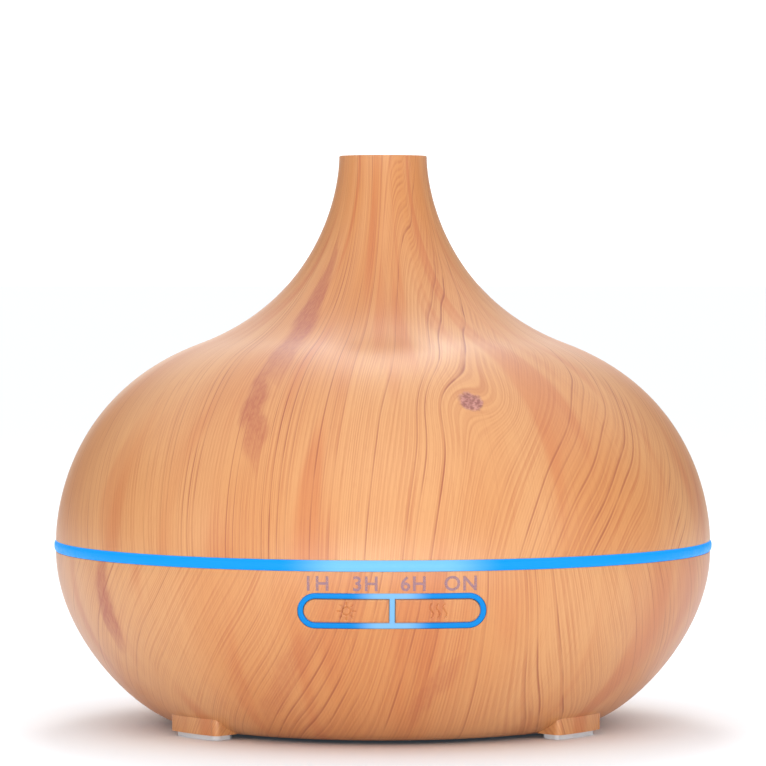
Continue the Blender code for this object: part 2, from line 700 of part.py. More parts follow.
# ================================================================ base: tank
def make_water_tank():
    """Open tank with a clamping flange, a standpipe, a transducer well and bosses."""
    r = TANK_RADIUS
    floor_top = TANK_FLOOR_Z + TANK_WALL
    corner = TANK_CORNER
    inner_r = r - TANK_WALL
    outer_turn = bezier([(r, TANK_FLOOR_Z + corner), (r, TANK_FLOOR_Z + 0.45 * corner),
                         (r - 0.55 * corner, TANK_FLOOR_Z), (r - corner, TANK_FLOOR_Z)], 3)
    inner_turn = bezier([(inner_r - corner, floor_top), (inner_r - 0.55 * corner, floor_top),
                         (inner_r, floor_top + 0.45 * corner), (inner_r, floor_top + corner)], 3)
    flange_low = FLANGE_TOP - FLANGE_THICKNESS
    profile = [(r, TANK_RIM_Z), (r, FLANGE_TOP), (FLANGE_RADIUS, FLANGE_TOP)]
    profile += [(FLANGE_RADIUS, flange_low), (r, flange_low)]
    profile += outer_turn + [(0.0, TANK_FLOOR_Z), (0.0, floor_top)] + inner_turn
    profile += [(inner_r, TANK_RIM_Z)]
    tank = turned("water_tank", profile)

    well = well_centre()
    pipe = spout_centre()
    join(tank, rod("well", WELL_RADIUS, WELL_BOTTOM, TANK_FLOOR_Z + LAP, well, SMALL_SEGMENTS))
    join(tank, rod("pipe", PIPE_RADIUS, TANK_FLOOR_Z - PIPE_DROP, PIPE_TOP_Z, pipe, SMALL_SEGMENTS))
    cut(tank, rod("pipe_bore", PIPE_BORE, TANK_FLOOR_Z - PIPE_DROP - PAST, PIPE_TOP_Z + PAST,
                  pipe, SMALL_SEGMENTS))
    cut(tank, rod("well_bore", WELL_BORE, WELL_BOTTOM - PAST, floor_top + PAST, well, SMALL_SEGMENTS))
    cut(tank, rod("seal_seat", SEAL_RADIUS + FIT, WELL_BOTTOM - PAST, SEAL_TOP + FIT,
                  well, SMALL_SEGMENTS))
    for place in clamp_holes():
        cut(tank, rod("pilot", SCREW_RADIUS + FIT, WELL_BOTTOM - PAST,
                      WELL_BOTTOM + CLAMP_SCREW_LENGTH, place))
    for azimuth in SCREW_AZIMUTHS:
        place = tuple(polar(BOSS_CIRCLE, azimuth).xy)
        join(tank, rod("boss", BOSS_RADIUS, BOTTOM_COVER_TOP + FIT, TANK_FLOOR_Z + LAP, place))
        cut(tank, rod("pilot", SCREW_RADIUS + FIT, 0.0,
                      BOTTOM_COVER_Z + SCREW_HEAD_HEIGHT + SCREW_LENGTH + 2.0 * MM, place))
    post_circle = (TANK_RADIUS + FLANGE_RADIUS) / 2
    for azimuth in (60.0, 120.0, 240.0, 300.0):
        place = tuple(polar(post_circle, azimuth).xy)
        join(tank, rod("led_post", LED_POST_RADIUS, led_board_top() + FIT, flange_low + LAP, place))
    return finish(tank, tank_plastic())


def led_board_top():
    return SKIRT_BOTTOM - FIT - LED_SIZE[2] - FIT


def make_transducer():
    """Piezo disc, the rubber seal that grips its edge, its clamp and three screws."""
    well = well_centre()
    middle = WELL_BOTTOM + SEAL_THICKNESS / 2
    disc = [(0.0, middle - DISC_THICKNESS / 2), (DISC_RADIUS, middle - DISC_THICKNESS / 2),
            (DISC_RADIUS, middle + DISC_THICKNESS / 2), (0.0, middle + DISC_THICKNESS / 2)]
    finish(turned("transducer_disc", disc, SMALL_SEGMENTS, well), steel())
    groove = DISC_THICKNESS / 2 + 0.15 * MM
    seal = [(SEAL_BORE, WELL_BOTTOM), (SEAL_RADIUS, WELL_BOTTOM), (SEAL_RADIUS, SEAL_TOP),
            (SEAL_BORE, SEAL_TOP), (SEAL_BORE, middle + groove), (DISC_RADIUS + FIT, middle + groove),
            (DISC_RADIUS + FIT, middle - groove), (SEAL_BORE, middle - groove)]
    finish(turned("transducer_seal", seal, SMALL_SEGMENTS, well), rubber())
    clamp = turned("transducer_clamp", [(SEAL_BORE, CLAMP_BOTTOM), (WELL_RADIUS, CLAMP_BOTTOM),
                                        (WELL_RADIUS, CLAMP_TOP), (SEAL_BORE, CLAMP_TOP)],
                   SMALL_SEGMENTS, well)
    for number, place in enumerate(clamp_holes(), 1):
        cut(clamp, rod("hole", SCREW_RADIUS + FIT, CLAMP_BOTTOM - PAST, CLAMP_TOP + PAST, place))
        make_screw(f"clamp_screw_{number}", place, CLAMP_BOTTOM - FIT - SCREW_HEAD_HEIGHT,
                   CLAMP_SCREW_LENGTH, head=CLAMP_HEAD_RADIUS)
    finish(clamp, aluminium())


# ================================================================ base: fan
def make_fan(axis):
    """Square fan frame with its motor seat, the bladed rotor and two screws."""
    x, y = fan_centre()
    frame = box_at("fan_frame", (x, y), (FAN_SIZE, FAN_SIZE, FAN_HEIGHT), FAN_Z)
    cut(frame, rod("bore", FAN_BORE, FAN_Z - PAST, FAN_TOP + PAST, (x, y), FAN_SEGMENTS))
    seat_top = FAN_Z + 1.5 * MM
    spider = rod("seat", FAN_HUB, FAN_Z, seat_top, (x, y), SMALL_SEGMENTS)
    for azimuth in (90.0, 210.0, 330.0):
        strut = box("strut", (x - FAN_STRUT / 2, y + FAN_HUB - PAST, FAN_Z + FAN_STRUT_LIFT),
                    (x + FAN_STRUT / 2, y + FAN_BORE + LAP, FAN_Z + FAN_STRUT_HEIGHT))
        turn(strut, azimuth, (x, y))
        join(spider, strut)
    join(frame, spider)
    cut(frame, rod("bearing", SHAFT_RADIUS + FIT, FAN_Z - PAST, seat_top + PAST, (x, y)))
    for place in fan_holes():
        hole = rod("hole", SCREW_RADIUS + FIT, FAN_Z - PAST, FAN_TOP + PAST, place)
        turn(hole, 180.0 / PIN_SEGMENTS, place)      # keeps its corners off the frame's diagonals
        cut(frame, hole)
    finish(frame, black_plastic())

    hub_low = seat_top + FIT
    hub_high = FAN_TOP - 0.8 * MM
    rotor = turned("fan_rotor", [(0.0, FAN_Z + 0.2 * MM), (SHAFT_RADIUS, FAN_Z + 0.2 * MM),
                                 (SHAFT_RADIUS, hub_low), (FAN_HUB, hub_low),
                                 (FAN_HUB, hub_high - 0.8 * MM), (FAN_HUB - 0.8 * MM, hub_high),
                                 (0.0, hub_high)], SMALL_SEGMENTS, (x, y))
    middle = (hub_low + hub_high) / 2
    for blade in range(BLADES):
        join(rotor, make_blade(x, y, middle, blade * 360.0 / BLADES))
    finish(rotor, black_plastic(), axis)
    length = FAN_TOP - BOTTOM_COVER_TOP
    for number, place in enumerate((fan_holes()[0], fan_holes()[2]), 1):
        make_screw(f"fan_screw_{number}", place, FAN_TOP + FIT, length, up=False,
                   head=SMALL_HEAD_RADIUS)


def make_blade(x, y, middle, azimuth):
    """One pitched blade that starts inside the hub."""
    blade = box("blade", (-BLADE_CHORD / 2, FAN_HUB - 0.8 * MM, -BLADE_THICKNESS / 2),
                (BLADE_CHORD / 2, FAN_BORE - 0.8 * MM, BLADE_THICKNESS / 2))
    blade.data.transform(Matrix.Rotation(BLADE_PITCH, 4, "Y"))
    blade.data.transform(Matrix.Rotation(math.radians(azimuth), 4, "Z"))
    blade.data.transform(Matrix.Translation((x, y, middle)))
    return blade


def make_air_duct():
    """Hood on the fan with a spout that plugs into the tank's standpipe."""
    low = FAN_TOP + FIT
    high = low + DUCT_HEIGHT
    wall = DUCT_WALL
    fan = fan_centre()
    spout = spout_centre()
    spout_radius = PIPE_BORE - FIT
    hood = turned("air_duct", [(0.0, high), (DUCT_RADIUS - 1.5 * MM, high), (DUCT_RADIUS, high - 1.5 * MM),
                               (DUCT_RADIUS, low), (DUCT_RADIUS - wall, low),
                               (DUCT_RADIUS - wall, high - wall), (0.0, high - wall)], FAN_SEGMENTS, fan)
    join(hood, rod("spout", spout_radius, high - wall, high + SPOUT_RISE, spout, SMALL_SEGMENTS))
    cut(hood, rod("bore", spout_radius - SPOUT_WALL, low, high + SPOUT_RISE + PAST,
                  spout, SMALL_SEGMENTS))
    return finish(hood, white_plastic())


# ================================================================ base: electronics
def make_control_board():
    """Driver board with its screws, heat sink, coil and controller chip."""
    low, high = board_box()
    board = box("control_board", (*low, BOARD_Z), (*high, BOARD_TOP))
    for number, place in enumerate(board_holes(), 1):
        cut(board, rod("hole", SCREW_RADIUS + FIT, BOARD_Z - PAST, BOARD_TOP + PAST, place))
        make_screw(f"board_screw_{number}", place, BOARD_TOP + FIT,
                   BOARD_TOP - BOTTOM_COVER_TOP - LAP, up=False, head=SMALL_HEAD_RADIUS)
    finish(board, circuit_board())

    top = BOARD_TOP + FIT
    sink_x = high[0] - HEAT_SINK_SIZE[0] / 2 - 1.0 * MM
    sink_y = low[1] + HEAT_SINK_SIZE[1] / 2 + 1.5 * MM
    sink = box_at("heat_sink", (sink_x, sink_y), HEAT_SINK_SIZE, top)
    pitch = HEAT_SINK_SIZE[0] / HEAT_SINK_FINS
    for gap in range(HEAT_SINK_FINS - 1):
        x = sink_x - HEAT_SINK_SIZE[0] / 2 + (gap + 1) * pitch
        size = (pitch * 0.55, HEAT_SINK_SIZE[1] + 2.0 * MM, HEAT_SINK_SIZE[2])
        cut(sink, box_at("slit", (x, sink_y), size, top + 1.8 * MM))
    finish(sink, aluminium())

    coil_place = (low[0] + COIL_RADIUS + 3.0 * MM, low[1] + COIL_RADIUS + 9.0 * MM)
    drum = [(0.0, 0.0), (1.0, 0.0), (1.0, 0.16), (0.82, 0.16), (0.82, 0.84), (1.0, 0.84), (1.0, 1.0),
            (0.0, 1.0)]
    profile = [(r * COIL_RADIUS, top + h * COIL_HEIGHT) for r, h in drum]
    finish(turned("driver_coil", profile, 16, coil_place), black_plastic())
    chip_place = ((low[0] + high[0]) / 2, low[1] + CHIP_SIZE[1] / 2 + 5.0 * MM)
    finish(box_at("controller_chip", chip_place, CHIP_SIZE, top), black_plastic())


def make_led_board():
    """C-shaped board under the ring's light guide, with its LEDs."""
    top = led_board_top()
    outer = SKIRT_OUTER - 0.5 * MM
    radii = (outer - LED_BOARD_WIDTH, outer)
    span = 360.0 - 2 * LED_BOARD_GAP
    board = sector("led_board", radii, 180.0, span, top - LED_BOARD_THICKNESS, top, 36)
    finish(board, circuit_board())
    for number in range(LED_COUNT):
        azimuth = 180.0 + span * (number - (LED_COUNT - 1) / 2) / LED_COUNT
        led = box_at(f"ring_led_{number + 1}", (0.0, -SKIRT_INNER), LED_SIZE, top + FIT)
        turn(led, azimuth)
        finish(led, white_plastic())


def make_panel_board():
    """Upright board behind the keys, with two push switches."""
    width, depth, height = PANEL_BOARD_SIZE
    low = PANEL_Z - height / 2
    board = box("button_board", (-width / 2, -PANEL_BOARD_BACK - depth, low),
                (width / 2, -PANEL_BOARD_BACK, low + height))
    finish(board, circuit_board())
    for name, side in (("light_switch", -1.0), ("mist_switch", 1.0)):
        body = box_at(name, (side * KEY_X, -(SWITCH_BACK + SWITCH_FRONT) / 2), SWITCH_SIZE,
                      PANEL_Z - SWITCH_SIZE[2] / 2)
        cut(body, rod("bore", PLUNGER_RADIUS + FIT, -SWITCH_FRONT - PAST, -SWITCH_BACK - SWITCH_FLOOR,
                      (side * KEY_X, PANEL_Z), PIN_SEGMENTS, "y"))
        finish(body, black_plastic())


def make_jack():
    """Barrel socket for the low-voltage supply, with its centre pin."""
    face = jack_face()
    shoulder = face - JACK_NOSE_LENGTH
    width, depth, height = JACK_BODY
    jack = box_at("dc_jack", (0.0, shoulder - depth / 2), (width, depth, height), JACK_Z - height / 2)
    join(jack, rod("nose", JACK_NOSE_RADIUS, shoulder - PAST, face, (0.0, JACK_Z), SMALL_SEGMENTS, "y"))
    cut(jack, rod("bore", JACK_BORE, face - JACK_DEPTH, face + PAST, (0.0, JACK_Z), SEAT_SEGMENTS, "y"))
    join(jack, rod("pin", JACK_PIN, face - JACK_DEPTH - LAP, face - JACK_PIN_RECESS,
                   (0.0, JACK_Z), 8, "y"))
    turn(jack, JACK_AZIMUTH - 180.0)
    return finish(jack, black_plastic())


def make_lead(name, route, surface):
    """A thin lead along a smooth curve through its route's points."""
    points = [Vector(p) for p in route]
    padded = [2 * points[0] - points[1]] + points + [2 * points[-1] - points[-2]]
    smooth = []
    for a, b, c, d in zip(padded, padded[1:], padded[2:], padded[3:]):
        for i in range(4):
            t = i / 4
            smooth.append(0.5 * (2 * b + (c - a) * t + (2 * a - 5 * b + 4 * c - d) * t * t
                                 + (3 * b - a - 3 * c + d) * t ** 3))
    smooth.append(points[-1])
    curve = bpy.data.curves.new(name, "CURVE")
    curve.dimensions = "3D"
    curve.bevel_depth = LEAD_RADIUS
    curve.bevel_resolution = 2
    curve.use_fill_caps = True
    spline = curve.splines.new("POLY")
    spline.points.add(len(smooth) - 1)
    for target, point in zip(spline.points, smooth):
        target.co = (*point, 1.0)
    lead = bpy.data.objects.new(name, curve)
    curve.materials.append(surface)
    bpy.context.scene.collection.objects.link(lead)
    return lead


def make_leads():
    """Leads from the socket, the fan and the button board to the control board."""
    low, high = board_box()
    top = BOARD_TOP + FIT + LEAD_RADIUS
    jack_end = Vector((0.0, jack_face() - JACK_NOSE_LENGTH - JACK_BODY[1] - 2 * FIT, JACK_Z))
    jack_end.rotate(Matrix.Rotation(math.radians(JACK_AZIMUTH - 180.0), 3, "Z"))
    inward = Vector((-jack_end.x, -jack_end.y, 0.0)).normalized()
    bend = jack_end + inward * 4.0 * MM
    pin_x = high[0] - 2.5 * MM
    make_lead("power_lead", [jack_end, bend, (pin_x + 2.0 * MM, high[1] + 8.0 * MM, JACK_Z - 2.0 * MM),
                             (pin_x, high[1] - 6.0 * MM, top + 2.5 * MM),
                             (pin_x, high[1] - 13.0 * MM, top)], black_plastic())
    fan_x = fan_centre()[0] - FAN_SIZE / 2 - FIT
    fan_y = fan_centre()[1] - FAN_SIZE / 2 + 4.0 * MM
    lift = FAN_Z + 6.5 * MM
    make_lead("fan_lead", [(fan_x, fan_y, lift), (fan_x - 4.0 * MM, fan_y - 0.5 * MM, lift + 1.0 * MM),
                           (fan_x - 4.5 * MM, high[1] - 5.0 * MM, top + 2.0 * MM),
                           (fan_x - 3.0 * MM, high[1] - 11.0 * MM, top)], black_plastic())
    panel_y = -PANEL_BOARD_BACK
    panel_low = PANEL_Z - PANEL_BOARD_SIZE[2] / 2
    make_lead("button_lead", [(0.0, panel_y - 0.7 * MM, panel_low - FIT),
                              (0.0, panel_y + 0.5 * MM, panel_low - 6.0 * MM),
                              (0.0, panel_y + 14.0 * MM, TANK_FLOOR_Z - 8.0 * MM),
                              (0.0, low[1] - 6.0 * MM, top + 4.0 * MM),
                              (0.0, low[1] + 2.5 * MM, top)], white_plastic())


# ================================================================ buttons
def key_outline(side, shrink):
    """Window or key of one side: round at its outer end, square at the divider."""
    width = KEY_WINDOW[0] - 2 * shrink
    height = KEY_WINDOW[1] - 2 * shrink
    return rounded_strip(width, height, side < 0, side > 0)


def make_button_bezel():
    """Translucent frame round both keys, with a lip behind the housing wall."""
    behind = HOUSING_WALL + FIT
    back = behind + BEZEL_FLANGE_THICKNESS
    front = front_band("button_bezel", 0.0, back)
    keep_inside(front, panel_prism("pill", rounded_strip(*BEZEL_SIZE, True, True)))
    lip = front_band("lip", behind, back)
    width, height = (side + 2 * (FIT + BEZEL_FLANGE) for side in BEZEL_SIZE)
    keep_inside(lip, panel_prism("pill", rounded_strip(width, height, True, True)))
    join(front, lip)
    for side in (-1.0, 1.0):
        cut(front, panel_prism("window", key_outline(side, 0.0), side * KEY_X))
    return finish(front, light_plastic())


def make_button(name, side, carrier):
    """One wood-faced key with its stem, and the switch plunger it pushes."""
    key = front_band(f"{name}_button", 0.0, KEY_THICKNESS)
    keep_inside(key, panel_prism("face", key_outline(side, FIT), side * KEY_X))
    front_y = -(radius_at(bowl_outline(), PANEL_Z) - KEY_THICKNESS)
    plunger_front = -(SWITCH_FRONT + PLUNGER_PROUD)
    join(key, rod("stem", STEM_RADIUS, front_y - 0.6 * MM, plunger_front - FIT,
                  (side * KEY_X, PANEL_Z), PIN_SEGMENTS, "y"))
    finish(key, wood(), carrier)
    rear = -SWITCH_BACK - SWITCH_FLOOR - KEY_TRAVEL - FIT
    plunger = rod(f"{name}_plunger", PLUNGER_RADIUS, plunger_front, rear,
                  (side * KEY_X, PANEL_Z), PIN_SEGMENTS, "y")
    finish(plunger, white_plastic(), carrier)


# ================================================================ cover
def cover_inner():
    """Inside of the top cover, from its rim to its lip."""
    inner = inset(cover_outline(), COVER_WALL)
    inner[0] = (RIM_RADIUS - COVER_WALL, COVER_RIM_Z)
    inner[-1] = (inner[-1][0], HEIGHT)
    return inner


def cover_boss_end():
    return height_at(cover_inner(), cover_screw_circle()) - COVER_BOSS_DROP


def make_top_cover(carrier):
    """Upper wood-grain shell, open at the rim and at the neck, with screw bosses."""
    outer = cover_outline()
    inner = cover_inner()
    lip = 0.8 * MM
    rounded = outer[:-1] + [(NECK_RADIUS, HEIGHT - lip), (NECK_RADIUS - 0.3 * lip, HEIGHT - 0.3 * lip),
                            (NECK_RADIUS - lip, HEIGHT)]
    cover = turned("top_cover", rounded + inner[::-1])
    solid = turned("solid", [(0.0, COVER_RIM_Z)] + outer + [(0.0, HEIGHT)])
    bosses = None
    for azimuth in COVER_SCREW_AZIMUTHS:
        place = tuple(polar(cover_screw_circle(), azimuth).xy)
        boss = rod("boss", COVER_BOSS_RADIUS, cover_boss_end(), SHOULDER_Z + 9 * PAST, place)
        if bosses is None:
            bosses = boss
        else:
            join(bosses, boss)
    keep_inside(bosses, solid)
    join(cover, bosses)
    for azimuth in COVER_SCREW_AZIMUTHS:
        place = tuple(polar(cover_screw_circle(), azimuth).xy)
        cut(cover, rod("pilot", SCREW_RADIUS + FIT, cover_boss_end() - PAST,
                       cover_boss_end() + COVER_PILOT_DEPTH, place))
    return finish(cover, wood(), carrier)


def make_inner_cover(carrier):
    """White liner: drip skirt in the tank, flange on its rim, dome and chimney."""
    wall = LINER_WALL
    skirt = TANK_RADIUS - TANK_WALL - LINER_SKIRT_GAP
    seat = TANK_RIM_Z + FIT
    chimney_top = HEIGHT - CHIMNEY_RECESS
    low = TANK_RIM_Z - LINER_SKIRT_DROP
    flange = TANK_RADIUS + 1.2 * MM
    dome_rise = (CHIMNEY_FOOT_Z - seat) * 0.55
    dome = bezier([(skirt, seat + wall), (skirt * 0.72, seat + wall + dome_rise * 0.68),
                   (CHIMNEY_RADIUS * 2.2, CHIMNEY_FOOT_Z - dome_rise * 0.5),
                   (CHIMNEY_RADIUS, CHIMNEY_FOOT_Z)], 6)
    inside = inset(dome, wall)
    inside[0] = (skirt - wall, seat)
    inside[-1] = (CHIMNEY_RADIUS - CHIMNEY_WALL, CHIMNEY_FOOT_Z)
    profile = [(skirt - wall, low), (skirt, low), (skirt, seat), (flange, seat), (flange, seat + wall)]
    profile += dome + [(CHIMNEY_RADIUS, chimney_top), (CHIMNEY_RADIUS - CHIMNEY_WALL, chimney_top)]
    profile += inside[::-1]
    liner = turned("inner_cover", profile)
    top = cover_boss_end() - FIT
    for number, azimuth in enumerate(COVER_SCREW_AZIMUTHS, 1):
        place = tuple(polar(cover_screw_circle(), azimuth).xy)
        join(liner, rod("tower", TOWER_RADIUS, top - TOWER_HEIGHT, top, place))
        cut(liner, rod("through", SCREW_RADIUS + FIT, top - TOWER_HEIGHT - 2 * PAST, top + PAST, place))
        cut(liner, rod("seat", SCREW_HEAD_RADIUS + FIT, top - TOWER_HEIGHT - 3 * PAST,
                       top - TOWER_FLOOR, place, SEAT_SEGMENTS))
        make_screw(f"cover_screw_{number}", place, top - TOWER_FLOOR - FIT - SCREW_HEAD_HEIGHT,
                   SCREW_LENGTH - LAP, carrier=carrier)
    return finish(liner, white_plastic(), carrier)


# ================================================================ assembly
def remove_scene_objects():
    for obj in list(bpy.data.objects):
        bpy.data.objects.remove(obj)


def build():
    remove_scene_objects()
    cover = axis_empty("cover_lift", (0.0, 0.0, COVER_RIM_Z))
    light = axis_empty("light_press", (-KEY_X, -RIM_RADIUS, PANEL_Z))
    mist = axis_empty("mist_press", (KEY_X, -RIM_RADIUS, PANEL_Z))
    fan = axis_empty("fan_spin", (*fan_centre(), FAN_Z))

    make_base_housing()
    make_bottom_cover()
    make_foot_pads()
    make_bottom_screws()
    make_light_ring()
    make_water_tank()
    make_transducer()
    make_fan(fan)
    make_air_duct()
    make_control_board()
    make_led_board()
    make_panel_board()
    make_jack()
    make_leads()
    make_button_bezel()
    make_button("light", -1.0, light)
    make_button("mist", 1.0, mist)
    make_top_cover(cover)
    make_inner_cover(cover)


build()
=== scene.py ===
"""Looks of the essential oil diffuser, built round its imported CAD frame.

The fine shells repeat the CAD outline's own sizes and curves, in metres.
"""

import math

import bmesh
import bpy
import numpy as np
from mathutils import Matrix, Vector


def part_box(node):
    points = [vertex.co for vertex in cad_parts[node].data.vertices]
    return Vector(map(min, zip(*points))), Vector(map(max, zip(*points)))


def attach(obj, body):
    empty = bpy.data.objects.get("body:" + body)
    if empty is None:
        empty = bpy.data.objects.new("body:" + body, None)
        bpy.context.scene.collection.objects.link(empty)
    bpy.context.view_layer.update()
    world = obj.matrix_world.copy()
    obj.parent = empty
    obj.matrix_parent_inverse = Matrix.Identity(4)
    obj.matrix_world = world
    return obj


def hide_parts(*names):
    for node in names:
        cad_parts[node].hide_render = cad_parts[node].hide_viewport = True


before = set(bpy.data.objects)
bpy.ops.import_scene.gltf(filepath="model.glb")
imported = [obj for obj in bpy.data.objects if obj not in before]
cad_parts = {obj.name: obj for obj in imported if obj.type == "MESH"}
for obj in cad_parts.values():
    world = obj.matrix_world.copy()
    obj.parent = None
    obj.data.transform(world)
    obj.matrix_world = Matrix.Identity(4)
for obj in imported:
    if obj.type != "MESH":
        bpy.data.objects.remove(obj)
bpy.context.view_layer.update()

MM = 0.001

# ---- sizes shared with the CAD
BODY_RADIUS = 84.0 * MM
HEIGHT = 145.0 * MM
RIM_RADIUS = 83.6 * MM
RING_LOW = 44.5 * MM
RING_HIGH = 47.1 * MM
COVER_RIM_Z = 47.4 * MM
HOUSING_RIM_Z = 44.2 * MM
COVER_WALL = 2.2 * MM
HOUSING_WALL = 2.4 * MM
RIM_LIP = 0.25 * MM  # both rims come this much nearer to the ring
NECK_RADIUS = 11.2 * MM
PANEL_Z = 35.0 * MM
BEZEL_SIZE = (44.8 * MM, 8.4 * MM)
BEZEL_STROKE = 1.2 * MM
DIVIDER = 1.15 * MM
KEY_GAP = 0.14 * MM  # between a key and the frame round it
KEY_REST = 0.11 * MM  # the keys' faces lie this far behind the housing's face
KEY_EDGE = 0.34 * MM  # their rounded edges
KEY_CELL = 0.13 * MM  # mesh size of their faces
GROOVE = 0.42 * MM  # width of the engraved strokes
GROOVE_DEPTH = 0.24 * MM
FLOOR_CLEARANCE = 1.0 * MM
TANK_RADIUS = 70.0 * MM
TANK_WALL = 2.0 * MM
TANK_FLOOR_Z = 26.0 * MM
TANK_RIM_Z = 72.0 * MM
FOOT_AZIMUTHS = (52.0, 128.0, 232.0, 308.0)  # the bottom screws stand there too
BOTTOM_SCREW_CIRCLE = 43.4 * MM
COVER_SCREW_AZIMUTHS = (60.0, 180.0, 300.0)
COVER_SCREW_CIRCLE = 50.6 * MM
SCREW_HOLE = 1.4 * MM  # radius of pilot and through holes
SCREW_SEAT = 3.1 * MM  # radius of the seats of their heads
HEAD_HEIGHT = 1.2 * MM
JACK_AZIMUTH = 145.0
JACK_Z = 19.0 * MM
MARK_SIZE = 4.9 * MM  # the timer marks: their letters,
MARK_Z = 39.95 * MM  # foot line
MARK_WEIGHT = 0.085 * MM  # and extra weight of stroke
WELD = 0.002 * MM  # vertices nearer than this are one

# ---- facets and light
ROUND = 224  # facets round the big shells
CREASE = 40.0  # degrees from which a CAD node's edge stays sharp
WHITE = 1.32  # strength of the white surroundings
DARK_SIDE = 0.26  # and of their darker sides
FLOOR_SIZE = 30.0
FLOOR_Z = -0.02 * MM  # just under the pads


# ---- outlines
def bezier(points, steps):
    """Points along a cubic curve, both ends included."""
    t = np.linspace(0.0, 1.0, steps + 1)[:, None]
    p = np.array(points)
    curve = ((1 - t) ** 3 * p[0] + 3 * (1 - t) ** 2 * t * p[1]
             + 3 * (1 - t) * t * t * p[2] + t ** 3 * p[3])
    return [tuple(point) for point in curve]


def cover_outline(steps=40):
    """Outside of the top cover as (radius, height), rim to lip."""
    shoulder = (46.7 * MM, 97.1 * MM)
    slope = math.tan(math.radians(20.3))
    rise = 0.974 * (RIM_RADIUS - shoulder[0])
    foot = 0.83 * (shoulder[0] - NECK_RADIUS)
    side = bezier([(RIM_RADIUS, COVER_RIM_Z), (RIM_RADIUS, COVER_RIM_Z + 3.3 * MM),
                   (shoulder[0] + rise, shoulder[1] - slope * rise), shoulder], steps)
    neck = bezier([shoulder, (shoulder[0] - foot, shoulder[1] + slope * foot),
                   (NECK_RADIUS, HEIGHT - 10.4 * MM), (NECK_RADIUS, HEIGHT)], steps)
    return side + neck[1:]


def bowl_outline(steps=48):
    """Outside of the base housing as (radius, height), rim to underside."""
    return bezier([(RIM_RADIUS, HOUSING_RIM_Z), (RIM_RADIUS, HOUSING_RIM_Z - 21.5 * MM),
                   (RIM_RADIUS - 20.9 * MM, FLOOR_CLEARANCE + 1.4 * MM),
                   (RIM_RADIUS - 31.1 * MM, FLOOR_CLEARANCE)], steps)


def inset(outline, depth):
    """The outline moved inwards along its normals."""
    points = np.array(outline)
    along = np.gradient(points, axis=0)
    along /= np.linalg.norm(along, axis=1)[:, None]
    normal = np.stack([-along[:, 1], along[:, 0]], axis=1)
    normal[normal[:, 0] > 0] *= -1
    return [tuple(p) for p in points + depth * normal]


def radius_at(outline, z):
    points = sorted((z0, r0) for r0, z0 in outline)
    return float(np.interp(z, [p[0] for p in points], [p[1] for p in points]))


def corner_arc(start, tip, end, steps):
    """Points of a curve from start to end, inside the corner at the tip."""
    shares = [k / steps for k in range(steps + 1)]
    return [tuple((1 - t) ** 2 * start + 2 * t * (1 - t) * tip + t * t * end) for t in shares]


def filleted(profile, radius, steps, sharper_than):
    """The closed profile with its sharp corners rounded."""
    result = []
    count = len(profile)
    for i in range(count):
        before = Vector(profile[i - 1])
        here = Vector(profile[i])
        after = Vector(profile[(i + 1) % count])
        a = before - here
        b = after - here
        if a.length < 1e-9 or b.length < 1e-9:
            continue
        turn = math.pi - a.angle(b)
        if math.degrees(turn) < sharper_than or here.x < 1e-9:
            result.append(tuple(here))
            continue
        reach = min(radius * math.tan(turn / 2), 0.45 * a.length, 0.45 * b.length)
        result += corner_arc(here + a.normalized() * reach, here,
                             here + b.normalized() * reach, steps)
    return result


def strip(width, height, arc_steps=24):
    """Outline of a centred strip with half-round ends."""
    radius = height / 2
    points = []
    for side in (1, -1):
        for i in range(arc_steps + 1):
            a = -math.pi / 2 + math.pi * i / arc_steps
            points.append((side * (width / 2 - radius + radius * math.cos(a)),
                           side * radius * math.sin(a)))
    return points


def polar(radius, azimuth):
    """A place in plan at an azimuth in degrees, counted from the front towards +X."""
    a = math.radians(azimuth)
    return Vector((radius * math.sin(a), -radius * math.cos(a)))


BOWL = bowl_outline()
COVER = cover_outline()


def front_y(x, z, depth=0.0):
    """The housing's front surface, moved straight in by a depth."""
    r = radius_at(BOWL, z) - depth
    return -math.sqrt(max(r * r - x * x, 0.0))


# ---- meshes
def object_from(name, bm, smooth_angle=35.0):
    """A new object with outward faces, smooth but for its sharp edges."""
    bmesh.ops.recalc_face_normals(bm, faces=bm.faces[:])
    mesh = bpy.data.meshes.new(name)
    bm.to_mesh(mesh)
    bm.free()
    mesh.shade_smooth()
    mesh.set_sharp_from_angle(angle=math.radians(smooth_angle))
    obj = bpy.data.objects.new(name, mesh)
    bpy.context.scene.collection.objects.link(obj)
    return obj


def turned(name, profile, segments=ROUND, centre=(0.0, 0.0), smooth_angle=35.0):
    """A solid turned about an upright axis from a closed (radius, height) profile."""
    bm = bmesh.new()
    rings = []
    for r, z in profile:
        if r < 1e-9:
            rings.append([bm.verts.new((centre[0], centre[1], z))])
            continue
        ring = []
        for i in range(segments):
            a = 2 * math.pi * i / segments
            ring.append(bm.verts.new((centre[0] + r * math.sin(a), centre[1] - r * math.cos(a), z)))
        rings.append(ring)
    for lower, upper in zip(rings, rings[1:] + rings[:1]):
        if len(lower) == 1 and len(upper) == 1:
            continue
        for i in range(segments):
            j = (i + 1) % segments
            corners = [lower[i % len(lower)], lower[j % len(lower)],
                       upper[j % len(upper)], upper[i % len(upper)]]
            bm.faces.new(list(dict.fromkeys(corners)))
    return object_from(name, bm, smooth_angle)


def skin(bm, rings, count, round_row, round_all):
    """Faces between rows of count vertices; rows and their sequence may close on themselves."""
    following = rings[1:] + rings[:1] if round_all else rings[1:]
    for one, two in zip(rings, following):
        for k in range(count if round_row else count - 1):
            m = (k + 1) % count
            bm.faces.new([one[k], one[m], two[m], two[k]])


